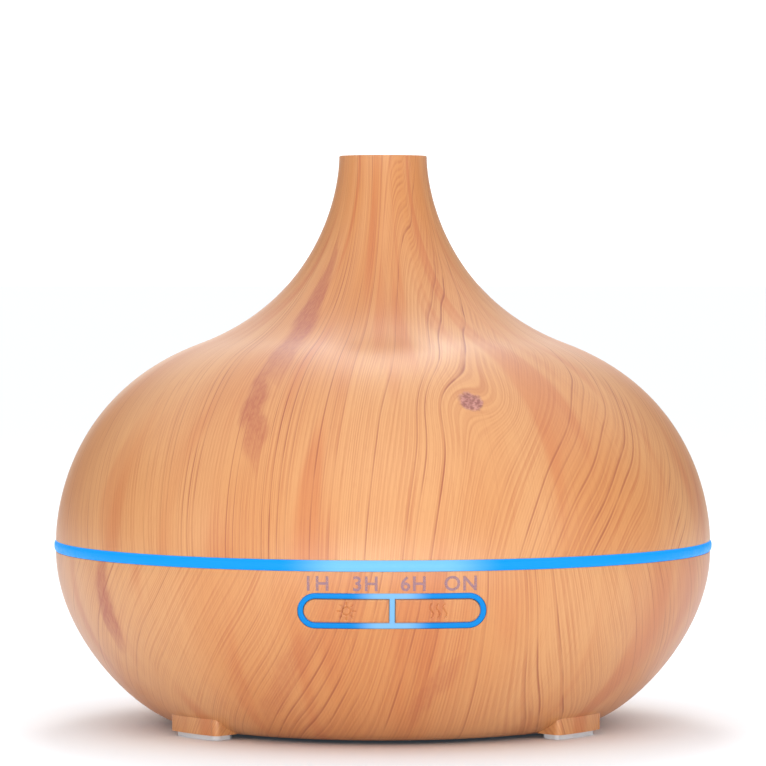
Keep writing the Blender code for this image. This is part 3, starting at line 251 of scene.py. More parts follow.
def prism(name, outline, low, high, axis="z", bevel=0.0):
    """A straight prism: outline in x, y or (axis y) in x, z; a bevel softens its edges."""
    bm = bmesh.new()
    ends = []
    for level in (low, high):
        if axis == "z":
            ends.append([bm.verts.new((u, v, level)) for u, v in outline])
        else:
            ends.append([bm.verts.new((u, level, v)) for u, v in outline])
    bm.faces.new(ends[0])
    bm.faces.new(ends[1])
    skin(bm, ends, len(outline), True, False)
    if bevel:
        bmesh.ops.recalc_face_normals(bm, faces=bm.faces[:])
        sharp = [e for e in bm.edges if e.calc_face_angle(0.0) > math.radians(40)]
        bmesh.ops.bevel(bm, geom=sharp, offset=bevel, segments=3, profile=0.5,
                        affect="EDGES", clamp_overlap=True)
    return object_from(name, bm)


def rod(name, radius, low, high, centre=(0.0, 0.0), segments=48, axis="z", bevel=0.0):
    outline = []
    for i in range(segments):
        a = 2 * math.pi * (i + 0.5) / segments
        outline.append((centre[0] + radius * math.cos(a), centre[1] + radius * math.sin(a)))
    return prism(name, outline, low, high, axis, bevel)


def block(name, centre, size, low_z):
    """A box over a centre (x, y), standing at a height."""
    x, y = centre
    hx, hy = size[0] / 2, size[1] / 2
    outline = [(x - hx, y - hy), (x + hx, y - hy), (x + hx, y + hy), (x - hx, y + hy)]
    return prism(name, outline, low_z, low_z + size[2])


def sector_outline(radii, azimuth, span, corner):
    """Plan of a curved block between two radii, with rounded corners."""
    steps = 24
    turns = [azimuth - span / 2 + span * i / steps for i in range(steps + 1)]
    outer = [polar(radii[1], turn) for turn in turns]
    inner = [polar(radii[0], turn) for turn in turns]
    return filleted_plan(outer + inner[::-1], corner)


def filleted_plan(outline, radius):
    """A plan outline with its sharp corners rounded."""
    result = []
    count = len(outline)
    for i in range(count):
        here = outline[i]
        a = outline[i - 1] - here
        b = outline[(i + 1) % count] - here
        turn = math.pi - a.angle(b)
        if math.degrees(turn) < 40:
            if not result or (Vector(result[-1]) - here).length > radius * 0.5:
                result.append(tuple(here))
            continue
        while result and (Vector(result[-1]) - here).length < radius:
            result.pop()
        result += corner_arc(here + a.normalized() * radius, here,
                             here + b.normalized() * radius, 6)
    return result


def combine(target, tool, operation):
    """Join, cut or intersect with an exact Boolean, then drop the tool."""
    modifier = target.modifiers.new("combine", "BOOLEAN")
    modifier.operation = operation
    modifier.solver = "EXACT"
    modifier.object = tool
    graph = bpy.context.evaluated_depsgraph_get()
    graph.update()
    result = bpy.data.meshes.new_from_object(target.evaluated_get(graph), depsgraph=graph)
    target.modifiers.clear()
    target.data = result
    bpy.data.objects.remove(tool)


def join(target, tool):
    combine(target, tool, "UNION")


def cut(target, tool):
    combine(target, tool, "DIFFERENCE")


def screw_holes(target, place, seat_low, seat_high, hole_low, hole_high):
    """A seat for a screw's head and the hole its shank goes through."""
    cut(target, rod("seat", SCREW_SEAT, seat_low, seat_high, place, 40))
    cut(target, rod("through", SCREW_HOLE, hole_low, hole_high, place, 24))


def resmooth(obj, angle=35.0):
    obj.data.shade_smooth()
    obj.data.set_sharp_from_angle(angle=math.radians(angle))


def true_normals(obj, outline):
    """Give the turned face its outline's exact normals, so cuts leave no dents in its sheen."""
    mesh = obj.data
    points = np.array(sorted((z, r) for r, z in outline))
    slope = np.gradient(points[:, 1], points[:, 0])
    co = np.zeros(len(mesh.vertices) * 3)
    mesh.vertices.foreach_get("co", co)
    co = co.reshape(-1, 3)
    radius = np.hypot(co[:, 0], co[:, 1])
    on_face = np.abs(radius - np.interp(co[:, 2], points[:, 0], points[:, 1])) < 0.06 * MM
    tilt = np.interp(co[:, 2], points[:, 0], slope)
    safe = np.maximum(radius, 1e-9)
    exact = np.stack([co[:, 0] / safe, co[:, 1] / safe, -tilt], axis=1)
    exact /= np.linalg.norm(exact, axis=1)[:, None]
    normals = np.zeros(len(mesh.loops) * 3)
    mesh.corner_normals.foreach_get("vector", normals)
    normals = normals.reshape(-1, 3)
    for polygon in mesh.polygons:
        facing = np.array(polygon.normal)
        for loop in polygon.loop_indices:
            vertex = mesh.loops[loop].vertex_index
            if on_face[vertex] and exact[vertex] @ facing > 0.96:
                normals[loop] = exact[vertex]
    mesh.normals_split_custom_set(normals.tolist())


# ---- shader graphs
class Graph:
    """Short names for the nodes of one material."""

    def __init__(self, name):
        self.material = bpy.data.materials.new(name)
        self.material.use_nodes = True
        self.tree = self.material.node_tree
        self.shader = self.tree.nodes["Principled BSDF"]

    def node(self, kind, **settings):
        made = self.tree.nodes.new(kind)
        for key, value in settings.items():
            setattr(made, key, value)
        return made

    def put(self, socket, value):
        if isinstance(value, bpy.types.NodeSocket):
            self.tree.links.new(value, socket)
        elif socket.type == "RGBA" and len(value) == 3:
            socket.default_value = (*value, 1.0)
        else:
            socket.default_value = value

    def math(self, operation, a, b=0.0, c=0.0, clamp=False):
        made = self.node("ShaderNodeMath", operation=operation, use_clamp=clamp)
        for socket, value in zip(made.inputs, (a, b, c)):
            self.put(socket, value)
        return made.outputs[0]

    def add(self, a, b):
        return self.math("ADD", a, b)

    def sub(self, a, b):
        return self.math("SUBTRACT", a, b)

    def mul(self, a, b):
        return self.math("MULTIPLY", a, b)

    def fit(self, value, low, high, to_low=0.0, to_high=1.0, kind="SMOOTHSTEP"):
        made = self.node("ShaderNodeMapRange", interpolation_type=kind)
        for key, item in (("Value", value), ("From Min", low), ("From Max", high),
                          ("To Min", to_low), ("To Max", to_high)):
            self.put(made.inputs[key], item)
        return made.outputs["Result"]

    def vector(self, x, y, z):
        made = self.node("ShaderNodeCombineXYZ")
        for socket, value in zip(made.inputs, (x, y, z)):
            self.put(socket, value)
        return made.outputs[0]

    def parts(self, vector):
        made = self.node("ShaderNodeSeparateXYZ")
        self.put(made.inputs[0], vector)
        return made.outputs[0], made.outputs[1], made.outputs[2]

    def place(self):
        return self.node("ShaderNodeTexCoord").outputs["Object"]

    def noise(self, vector, scale, detail=2.0, rough=0.5, distortion=0.0):
        made = self.node("ShaderNodeTexNoise")
        self.put(made.inputs["Vector"], vector)
        for key, value in (("Scale", scale), ("Detail", detail), ("Roughness", rough),
                           ("Distortion", distortion)):
            made.inputs[key].default_value = value
        return made.outputs["Fac"]

    def random(self, value):
        made = self.node("ShaderNodeTexWhiteNoise", noise_dimensions="1D")
        self.put(made.inputs["W"], value)
        return made.outputs["Value"]

    def mix(self, share, a, b):
        made = self.node("ShaderNodeMix", data_type="RGBA", blend_type="MIX")
        self.put(made.inputs["Factor"], share)
        for key, value in (("A", a), ("B", b)):
            socket = [s for s in made.inputs if s.name == key and s.type == "RGBA"][0]
            self.put(socket, value)
        return [s for s in made.outputs if s.type == "RGBA"][0]

    def bump(self, height, distance, strength):
        made = self.node("ShaderNodeBump")
        self.put(made.inputs["Height"], height)
        made.inputs["Distance"].default_value = distance
        made.inputs["Strength"].default_value = strength
        self.put(self.shader.inputs["Normal"], made.outputs[0])

    def set(self, **values):
        for key, value in values.items():
            self.put(self.shader.inputs[key.replace("_", " ")], value)


def srgb(r, g, b):
    """A display colour, 0 to 255, as linear values."""
    out = []
    for channel in (r, g, b):
        c = channel / 255.0
        out.append(c / 12.92 if c <= 0.04045 else ((c + 0.055) / 1.055) ** 2.4)
    return tuple(out)


# ---- wood
def wood(name, style):
    """Printed wood grain that flows round the turned body.

    u runs round the body and v down its side, in millimetres.  Growth lines are the
    whole values of a field made from u, a tilt along v, slow drifts and knots.
    """
    g = Graph(name)
    x, y, z = g.parts(g.place())
    radius = g.math("MAXIMUM", g.math("SQRT", g.add(g.mul(x, x), g.mul(y, y))), 1e-4)
    side = g.math("DIVIDE", x, radius)
    front = g.math("DIVIDE", g.mul(y, -1.0), radius)
    angle = g.math("ARCTAN2", x, g.mul(y, -1.0))
    u = g.mul(angle, BODY_RADIUS / MM)
    inward = g.sub(BODY_RADIUS, radius)
    v = g.mul(g.add(g.sub(z, style["middle"]), g.mul(inward, style["unroll"])), 1.0 / MM)
    around = g.vector(g.mul(side, BODY_RADIUS / MM), g.mul(front, BODY_RADIUS / MM), v)

    def drift(width, length, detail, seed):
        """Slow noise with a size round the body and a size along it, in millimetres, -1 to 1."""
        stretch = g.node("ShaderNodeMapping")
        g.put(stretch.inputs["Vector"], around)
        stretch.inputs["Scale"].default_value = (1 / width, 1 / width, 1 / length)
        stretch.inputs["Location"].default_value = (seed, style["seed"], seed * 0.37)
        return g.fit(g.noise(stretch.outputs[0], 1.0, detail), 0.25, 0.75, -1.0, 1.0, "LINEAR")

    # knots push the growth lines aside
    pushed = u
    knot_dark = 0.0
    for ku, kv, width, length, strength in style["knots"]:
        du = g.mul(g.sub(u, ku), 1.0 / width)
        dv = g.mul(g.sub(v, kv), 1.0 / length)
        near = g.add(g.mul(du, du), g.mul(dv, dv))
        bell = g.math("EXPONENT", g.mul(near, -0.09))
        pushed = g.sub(pushed, g.mul(g.mul(g.sub(u, ku), bell), 0.72))
        ragged = g.add(near, g.mul(drift(2.2, 3.0, 2.0, 4.1), 0.3))
        core = g.fit(ragged, 1.2, 0.5, 0.0, strength)
        knot_dark = g.math("MAXIMUM", core, knot_dark)

    tilt = g.add(g.mul(side, style["tilt"][1]), style["tilt"][0])
    tilt = g.add(tilt, g.mul(front, style["tilt"][2]))
    swell = g.add(g.mul(side, style["crowd"][0]), g.mul(front, style["crowd"][1]))
    field = g.add(g.sub(pushed, g.mul(tilt, v)), g.mul(swell, BODY_RADIUS / MM))
    field = g.add(field, g.mul(drift(62.0, 130.0, 0.0, 1.3), style["wander"]))
    field = g.add(field, g.mul(drift(13.0, 60.0, 0.0, 7.7), style["ripple"]))
    turns = g.mul(field, style["lines"] / (2 * math.pi * BODY_RADIUS / MM))

    def growth(value, count, seed, start, edge, rarity):
        """Lines that darken slowly and end sharply; a line's own strength fades along it."""
        share = g.math("FRACT", value)
        index = g.math("WRAP", g.math("FLOOR", value), count, 0.0)
        dark = g.mul(g.fit(share, start, edge), g.fit(share, 1.0, edge, 0.0, 1.0))
        own = g.math("POWER", g.random(g.add(index, seed)), rarity)
        return g.mul(g.mul(dark, own), g.fit(drift(7.0, 24.0, 1.0, seed), -0.9, 0.5, 0.25, 1.0))

    count = style["lines"]
    bold = growth(turns, count, 0.5, 0.70, 0.90, 3.0)
    middling = growth(g.add(g.mul(turns, 2.0), 0.31), 2 * count, 1.5, 0.35, 0.80, 1.3)
    fine = growth(g.add(g.mul(turns, 4.0), 0.17), 4 * count, 2.5, 0.15, 0.70, 0.6)
    broad = drift(30.0, 120.0, 1.0, 9.2)
    patch = drift(11.0, 75.0, 1.0, 3.4)
    fibre = drift(0.36, 26.0, 1.0, 5.5)
    pore = drift(0.22, 2.6, 0.0, 6.6)

    colour = g.mix(g.fit(broad, -0.8, 0.8), style["pale"], style["warm"])
    colour = g.mix(g.mul(g.fit(patch, 0.05, 0.9), 0.62), colour, style["red"])
    colour = g.mix(g.mul(fine, style["fine"]), colour, style["line"])
    colour = g.mix(g.mul(g.fit(fibre, 0.0, 1.0), 0.13), colour, style["line"])
    colour = g.mix(g.mul(g.fit(pore, 0.4, 1.0), 0.10), colour, style["line"])
    colour = g.mix(g.mul(middling, style["middling"]), colour, style["line"])
    colour = g.mix(g.math("MULTIPLY", bold, style["bold"], clamp=True), colour, style["dark"])

    # flames: long reddish stains along the grain
    for fu, fv, lean, width, length, strength in style["flames"]:
        along = g.mul(g.sub(v, fv), 1.0 / length)
        across = g.sub(g.sub(u, fu), g.mul(g.sub(v, fv), lean))
        across = g.mul(g.add(across, g.mul(drift(7.0, 16.0, 1.0, 8.8), 2.0)), 1.0 / width)
        taper = g.math("MAXIMUM", g.sub(1.0, g.mul(along, along)), 0.0)
        stain = g.mul(g.fit(g.math("ABSOLUTE", across), taper, g.mul(taper, 0.35)), taper)
        figure = g.fit(drift(0.8, 2.4, 2.0, 2.9), -0.6, 0.8, 0.65, 1.0)
        colour = g.mix(g.mul(g.mul(stain, figure), strength), colour, style["flame"])
    heart = g.fit(drift(1.2, 1.2, 2.0, 1.9), -0.5, 0.7)
    colour = g.mix(knot_dark, colour, g.mix(heart, style["knot"], style["knot_light"]))

    rough = g.add(g.fit(broad, -1.0, 1.0, 0.40, 0.47), g.mul(bold, 0.06))
    g.set(Base_Color=colour, Roughness=rough)
    g.shader.inputs["Coat Weight"].default_value = 0.7
    g.shader.inputs["Coat Roughness"].default_value = 0.40
    g.shader.inputs["Coat IOR"].default_value = 1.5
    g.shader.inputs["Specular IOR Level"].default_value = 0.15
    g.bump(g.sub(g.mul(fibre, 0.25), g.add(bold, g.mul(fine, 0.4))), 0.04 * MM, 0.5)
    return g.material


WOOD_COLOURS = {
    "pale": srgb(203, 148, 97), "warm": srgb(195, 131, 77), "red": srgb(185, 107, 61),
    "line": srgb(164, 87, 50), "dark": srgb(142, 68, 44), "flame": srgb(160, 80, 54),
    "knot": srgb(126, 68, 70), "knot_light": srgb(180, 124, 118),
}
COVER_STYLE = {
    **WOOD_COLOURS, "seed": 3.1, "middle": 70.0 * MM, "unroll": 0.9, "lines": 200,
    "tilt": (0.06, 0.46, 0.04), "crowd": (0.0, 0.42), "wander": 5.0, "ripple": 0.55,
    "fine": 0.44, "middling": 0.50, "bold": 0.85,
    "knots": [(24.5, 29.0, 3.9, 4.5, 0.85), (-150.0, 12.0, 3.6, 4.8, 0.8)],
    "flames": [(-52.0, 78.0, -0.37, 11.0, 44.0, 0.95), (-41.0, 28.0, -0.20, 5.5, 30.0, 0.8),
               (150.0, 40.0, 0.2, 6.0, 22.0, 0.6)],
}
BASE_STYLE = {
    **WOOD_COLOURS, "seed": 11.7, "middle": 30.0 * MM, "unroll": -0.9, "lines": 190,
    "tilt": (0.12, -0.75, 0.04), "crowd": (0.0, 0.12), "wander": 4.0, "ripple": 0.5,
    "fine": 0.44, "middling": 0.50, "bold": 0.75,
    "knots": [(172.0, 6.0, 3.4, 4.4, 0.6)],
    "flames": [(-30.0, -22.0, 0.5, 5.0, 26.0, 0.3), (12.0, -28.0, 0.35, 4.0, 20.0, 0.4),
               (-84.0, 2.0, 0.05, 5.5, 20.0, 0.9)],
}


# ---- other materials
def lit_plastic(name, edge, centre, strength, reach):
    """Frosted plastic lit from behind, palest in the middle of the front: the glow is real, its
    pale front middle is a painted highlight.
    """
    g = Graph(name)
    x, y, _ = g.parts(g.place())
    aside = g.math("ABSOLUTE", x)
    # painted highlight: the glow turns towards the pale centre colour at the middle of the front
    # only
    share = g.mul(g.fit(aside, reach[1], reach[0]), g.fit(y, 0.0, -20.0 * MM))
    glow = g.mix(share, edge, centre)
    frost = g.noise(g.place(), 900.0, 2.0)
    glow = g.mix(g.mul(frost, 0.10), glow, edge)
    g.set(Base_Color=g.mix(g.mul(frost, 0.2), (0.0, 0.09, 0.22), (0.02, 0.14, 0.30)),
          Roughness=g.fit(frost, 0.3, 0.7, 0.36, 0.5))
    g.put(g.shader.inputs["Emission Color"], glow)
    g.shader.inputs["Emission Strength"].default_value = strength
    g.shader.inputs["Specular IOR Level"].default_value = 0.12
    return g.material


def moulded(name, colour, rough, grain=0.02 * MM, tint=0.06, clear=0.0):
    """Moulded plastic with a fine spark-eroded texture and faint flow marks."""
    g = Graph(name)
    place = g.place()
    speck = g.noise(place, 1400.0, 3.0, 0.6)
    flow = g.noise(place, 28.0, 3.0, 0.55, 0.6)
    darker = tuple(c * (1.0 - 2.2 * tint) for c in colour)
    g.set(Base_Color=g.mix(g.fit(flow, 0.3, 0.7), colour, darker),
          Roughness=g.fit(g.add(g.mul(speck, 0.6), g.mul(flow, 0.4)), 0.3, 0.7,
                          rough - 0.06, rough + 0.08))
    g.bump(speck, grain, 0.6)
    if clear:
        g.shader.inputs["Subsurface Weight"].default_value = clear
        g.shader.inputs["Subsurface Radius"].default_value = (0.006, 0.006, 0.007)
        g.shader.inputs["Subsurface Scale"].default_value = 0.6
    return g.material


def metal(name, colour, rough):
    """Plated or machined metal with directional scratches."""
    g = Graph(name)
    stretch = g.node("ShaderNodeMapping")
    g.put(stretch.inputs["Vector"], g.place())
    stretch.inputs["Scale"].default_value = (1.0, 1.0, 40.0)
    scratch = g.noise(stretch.outputs[0], 1800.0, 3.0, 0.65)
    stain = g.noise(g.place(), 160.0, 3.0, 0.5)
    g.set(Base_Color=g.mix(g.mul(stain, 0.3), colour, tuple(c * 0.72 for c in colour)),
          Roughness=g.fit(scratch, 0.3, 0.7, rough - 0.08, rough + 0.12), Metallic=1.0)
    g.bump(scratch, 0.008 * MM, 0.5)
    return g.material


def circuit_board(name):
    """Green solder mask with copper tracks under it and fibre weave."""
    g = Graph(name)
    x, y, _ = g.parts(g.place())
    cell_x = g.math("FRACT", g.mul(x, 1 / 0.0031))
    cell_y = g.math("FRACT", g.mul(y, 1 / 0.0043))
    track = g.math("MAXIMUM", g.math("GREATER_THAN", cell_x, 0.78),
                   g.math("GREATER_THAN", cell_y, 0.86))
    broken = g.math("GREATER_THAN", g.noise(g.place(), 170.0, 0.0), 0.5)
    track = g.mul(track, broken)
    weave = g.math("SINE", g.mul(g.add(x, y), 9000.0))
    base = g.mix(g.mul(track, 0.8), (0.008, 0.10, 0.035), (0.03, 0.24, 0.07))
    g.set(Base_Color=g.mix(g.fit(weave, 0.4, 1.0, 0.0, 0.18), base, (0.02, 0.16, 0.06)),
          Roughness=g.fit(weave, -1.0, 1.0, 0.28, 0.36))
    g.bump(g.add(track, g.mul(weave, 0.08)), 0.03 * MM, 0.6)
    return g.material


def rubber(name, colour):
    """Matt silicone with dust in its pores."""
    g = Graph(name)
    pores = g.noise(g.place(), 2600.0, 2.0, 0.7)
    dust = g.noise(g.place(), 220.0, 4.0, 0.6)
    dusty = tuple(c * 0.75 for c in colour)
    g.set(Base_Color=g.mix(g.fit(dust, 0.45, 0.75, 0.0, 0.35), colour, dusty),
          Roughness=g.fit(pores, 0.3, 0.7, 0.58, 0.74))
    g.bump(pores, 0.03 * MM, 0.6)
    return g.material


def ink(name, colour, cover):
    """Worn, slightly see-through print."""
    g = Graph(name)
    wear = g.noise(g.place(), 1500.0, 3.0, 0.6)
    g.set(Base_Color=colour, Roughness=0.55, Alpha=g.fit(wear, 0.25, 0.6, cover * 0.75, cover))
    return g.material


# ---- pieces
def paint(obj, material):
    obj.data.materials.clear()
    obj.data.materials.append(material)
    for polygon in obj.data.polygons:
        polygon.material_index = 0


def show(obj, body, material, slot, *nodes):
    """Give a new piece its material and body, and hide the CAD nodes it stands for; the slot is not
    used.
    """
    paint(obj, material)
    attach(obj, body)
    if nodes:
        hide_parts(*nodes)


def make_top_cover(material):
    inner = inset(cover_outline(20), COVER_WALL)
    inner[0] = (RIM_RADIUS - COVER_WALL, COVER_RIM_Z)
    inner[-1] = (inner[-1][0], HEIGHT)
    outer = [(RIM_RADIUS, COVER_RIM_Z - RIM_LIP)] + COVER
    inner = [(RIM_RADIUS - COVER_WALL, COVER_RIM_Z - RIM_LIP)] + inner
    profile = filleted(outer + inner[::-1], 0.9 * MM, 6, 50.0)
    cover = turned("top_cover_shell", profile, smooth_angle=50.0)
    for azimuth in COVER_SCREW_AZIMUTHS:
        place = polar(COVER_SCREW_CIRCLE, azimuth)
        boss = rod("boss", 3.2 * MM, 84.3 * MM, 93.8 * MM, place, 40)
        cut(boss, rod("pilot", SCREW_HOLE, 80.0 * MM, 91.0 * MM, place, 24))
        join(cover, boss)
    resmooth(cover, 40.0)
    true_normals(cover, COVER)
    show(cover, "cover", material, "wood_grain", "top_cover")


def make_foot_block(azimuth):
    """A soft-edged block that grows out of the bowl's underside."""
    outline = sector_outline((53.6 * MM, 61.6 * MM), azimuth, 18.0, corner=1.6 * MM)
    return prism("foot", outline, 1.25 * MM, 5.6 * MM, bevel=0.5 * MM)


def make_base_housing(material):
    inner = [p for p in inset(bowl_outline(24), HOUSING_WALL) if p[1] > 6.0 * MM]
    inner[0] = (RIM_RADIUS - HOUSING_WALL, HOUSING_RIM_Z)
    inner = [(RIM_RADIUS - HOUSING_WALL, HOUSING_RIM_Z + RIM_LIP)] + inner
    outer = [(RIM_RADIUS, HOUSING_RIM_Z + RIM_LIP)] + BOWL
    edge = BOWL[-1][0] - 2.4 * MM
    ledge = [(edge, FLOOR_CLEARANCE), (edge, 4.0 * MM), (edge - 2.6 * MM, 4.0 * MM),
             (edge - 2.6 * MM, 5.6 * MM), (inner[-1][0] - 1.0 * MM, 5.6 * MM)]
    profile = filleted(outer + ledge + inner[::-1], 0.35 * MM, 4, 40.0)
    shell = turned("base_housing_shell", profile, smooth_angle=50.0)
    for azimuth in FOOT_AZIMUTHS:
        join(shell, make_foot_block(azimuth))
    gap = 0.12 * MM
    opening = strip(BEZEL_SIZE[0] + 2 * gap, BEZEL_SIZE[1] + 2 * gap)
    placed = [(x, PANEL_Z + z) for x, z in opening]
    cut(shell, prism("opening", placed, -90.0 * MM, -60.0 * MM, "y"))
    add_jack_sleeve(shell)
    resmooth(shell, 40.0)
    true_normals(shell, BOWL)
    show(shell, "base", material, "wood_grain", "base_housing")


def add_jack_sleeve(shell):
    """The recess for the power plug, cut square to the axis of the socket."""
    face = radius_at(BOWL, JACK_Z) - 5.8 * MM
    turn = Matrix.Rotation(math.radians(JACK_AZIMUTH - 180.0), 4, "Z")
    outside = turned("outside",
                     [(0.0, HOUSING_RIM_Z)] + bowl_outline(24) + [(0.0, FLOOR_CLEARANCE)])
    sleeve = rod("sleeve", 7.3 * MM, face - 2.5 * MM, 90.0 * MM, (0.0, JACK_Z), 64, "y")
    sleeve.data.transform(turn)
    combine(sleeve, outside, "INTERSECT")
    join(shell, sleeve)
    bore = rod("bore", 5.5 * MM, face - 4.0 * MM, 95.0 * MM, (0.0, JACK_Z), 64, "y")
    bore.data.transform(turn)
    cut(shell, bore)


def make_light_ring(material):
    """Band that bulges slightly, with its light guide hanging inside."""
    half = (RING_HIGH - RING_LOW) / 2
    middle = (RING_HIGH + RING_LOW) / 2
    bulge = []
    for i in range(13):
        t = -1.0 + i / 6.0
        bulge.append((BODY_RADIUS - 0.42 * MM * abs(t) ** 3, middle + half * t))
    profile = bulge + [(75.5 * MM, RING_HIGH), (75.5 * MM, RING_LOW), (78.3 * MM, RING_LOW),
                       (78.3 * MM, 41.6 * MM), (80.3 * MM, 41.6 * MM), (80.3 * MM, RING_LOW)]
    ring = turned("light_ring_band", filleted(profile, 0.25 * MM, 3, 40.0), 288)
    show(ring, "base", material, "lit_plastic", "light_ring")


def swept_frame(bm, outline, stroke, depth):
    """A frame of rounded section that follows the outline on the housing's face."""
    soft = 0.28 * MM
    count = len(outline)
    section = []
    for cx, cy, start in ((stroke - soft, -soft, 0.0), (soft, -soft, 90.0)):
        for k in range(5):
            a = math.radians(start + 90.0 * k / 4)
            section.append((cx + soft * math.cos(a), cy + soft * math.sin(a)))
    section += [(0.0, -depth), (stroke, -depth)]
    rings = []
    for i in range(count):
        here = Vector(outline[i])
        along = (Vector(outline[(i + 1) % count]) - Vector(outline[i - 1])).normalized()
        inward = Vector((-along.y, along.x))
        ring = []
        for across, height in section:
            spot = here + inward * across
            y = front_y(spot.x, PANEL_Z + spot.y, -height)
            ring.append(bm.verts.new((spot.x, y, PANEL_Z + spot.y)))
        rings.append(ring)
    skin(bm, rings, len(section), True, True)


def make_bezel(material):
    """Pill-shaped frame with a divider, proud of the housing by a hair."""
    bm = bmesh.new()
    depth = 3.6 * MM
    swept_frame(bm, dense(strip(*BEZEL_SIZE), 0.6 * MM), BEZEL_STROKE, depth)
    half = BEZEL_SIZE[1] / 2 - BEZEL_STROKE + 0.3 * MM
    soft = 0.25 * MM
    edge = DIVIDER / 2
    section = [(-edge, depth), (-edge, soft), (-edge + soft, 0.0),
               (edge - soft, 0.0), (edge, soft), (edge, depth)]
    rings = []
    for i in range(13):
        z = PANEL_Z - half + 2 * half * i / 12
        rings.append([bm.verts.new((x, front_y(x, z, inwards), z)) for x, inwards in section])
    skin(bm, rings, len(section), True, False)
    bm.faces.new(rings[0])
    bm.faces.new(rings[-1])
    show(object_from("bezel_frame", bm), "base", material, "lit_plastic", "button_bezel")


def dense(outline, step):
    """The outline with extra points on its long edges."""
    result = []
    for a, b in zip(outline, outline[1:] + outline[:1]):
        a, b = Vector(a), Vector(b)
        pieces = max(1, int(math.ceil((b - a).length / step)))
        for k in range(pieces):
            result.append(tuple(a.lerp(b, k / pieces)))
    return result


def from_segment(x, z, a, b):
    """Distance from a place to the straight segment between two others."""
    run, rise = b[0] - a[0], b[1] - a[1]
    t = ((x - a[0]) * run + (z - a[1]) * rise) / (run * run + rise * rise)
    t = min(1.0, max(0.0, t))
    return math.hypot(x - a[0] - t * run, z - a[1] - t * rise)


def engraving(x, z, strokes):
    """Depth of the engraved sign at a place on the key's face."""
    nearest = min(from_segment(x, z, a, b)
                  for points in strokes for a, b in zip(points, points[1:]))
    return GROOVE_DEPTH * min(1.0, 1.5 * max(0.0, 1.0 - nearest / (GROOVE / 2)))


def make_key(name, side, body, material, strokes, *nodes):
    """Key cap that follows the housing's curve, with soft edges and an engraved sign."""
    width = (BEZEL_SIZE[0] - 2 * BEZEL_STROKE - DIVIDER) / 2 - 2 * KEY_GAP
    radius = (BEZEL_SIZE[1] - 2 * BEZEL_STROKE) / 2 - KEY_GAP
    centre_x = side * ((BEZEL_SIZE[0] - 2 * BEZEL_STROKE - DIVIDER) / 4 + DIVIDER / 2)
    columns = [radius * (1.0 - math.cos(math.pi / 2 * k / 26)) for k in range(26)]
    count = int((width - radius) / KEY_CELL)
    columns += [radius + (width - radius) * k / count for k in range(count + 1)]
    rows = int(2 * radius / KEY_CELL)
    bm = bmesh.new()
    lines = []
    for along in columns:
        half = radius
        if along < radius:
            half = math.sqrt(max(0.0, radius ** 2 - (radius - along) ** 2))
        line = []
        for j in range(rows + 1):
            pz = half * (2.0 * j / rows - 1.0)
            px = side * (width / 2 - along)
            edge = radius - math.hypot(max(0.0, radius - along), pz)
            edge = max(0.0, min(edge, width - along))
            soft = KEY_EDGE * (1.0 - min(1.0, edge / KEY_EDGE)) ** 2
            x, z = centre_x + px, PANEL_Z + pz
            depth = KEY_REST + soft + engraving(px, pz, strokes)
            line.append(bm.verts.new((x, front_y(x, z, depth), z)))
        lines.append(line)
    skin(bm, lines, rows + 1, False, False)
    bmesh.ops.remove_doubles(bm, verts=bm.verts[:], dist=WELD)
    rim = [edge for edge in bm.edges if edge.is_boundary]
    made = bmesh.ops.extrude_edge_only(bm, edges=rim)
    back = [item for item in made["geom"] if isinstance(item, bmesh.types.BMVert)]
    for vert in back:
        vert.co.y = front_y(vert.co.x, vert.co.z, 2.0 * MM)
    bmesh.ops.holes_fill(bm, edges=[edge for edge in bm.edges if edge.is_boundary], sides=0)
    cap = object_from(name, bm)
    stem = rod("stem", 1.5 * MM, front_y(centre_x, PANEL_Z, 2.0 * MM) - 0.3 * MM, -77.3 * MM,
               (centre_x, PANEL_Z), 32, "y")
    join(cap, stem)
    resmooth(cap, 50.0)
    show(cap, body, material, "wood_grain", *nodes)


def light_sign():
    """A lamp: a small ring with rays."""
    def spot(radius, share):
        a = 2 * math.pi * share
        return (radius * math.cos(a), radius * math.sin(a))

    ring = [spot(0.95 * MM, i / 20) for i in range(21)]
    return [ring] + [[spot(1.5 * MM, i / 8), spot(2.1 * MM, i / 8)] for i in range(8)]


def mist_sign():
    """Three wavy lines that rise like vapour."""
    return [[((offset + 0.42 * math.sin(2 * math.pi * i / 10)) * MM, (-1.7 + 0.34 * i) * MM)
             for i in range(11)] for offset in (-1.6, 0.0, 1.6)]


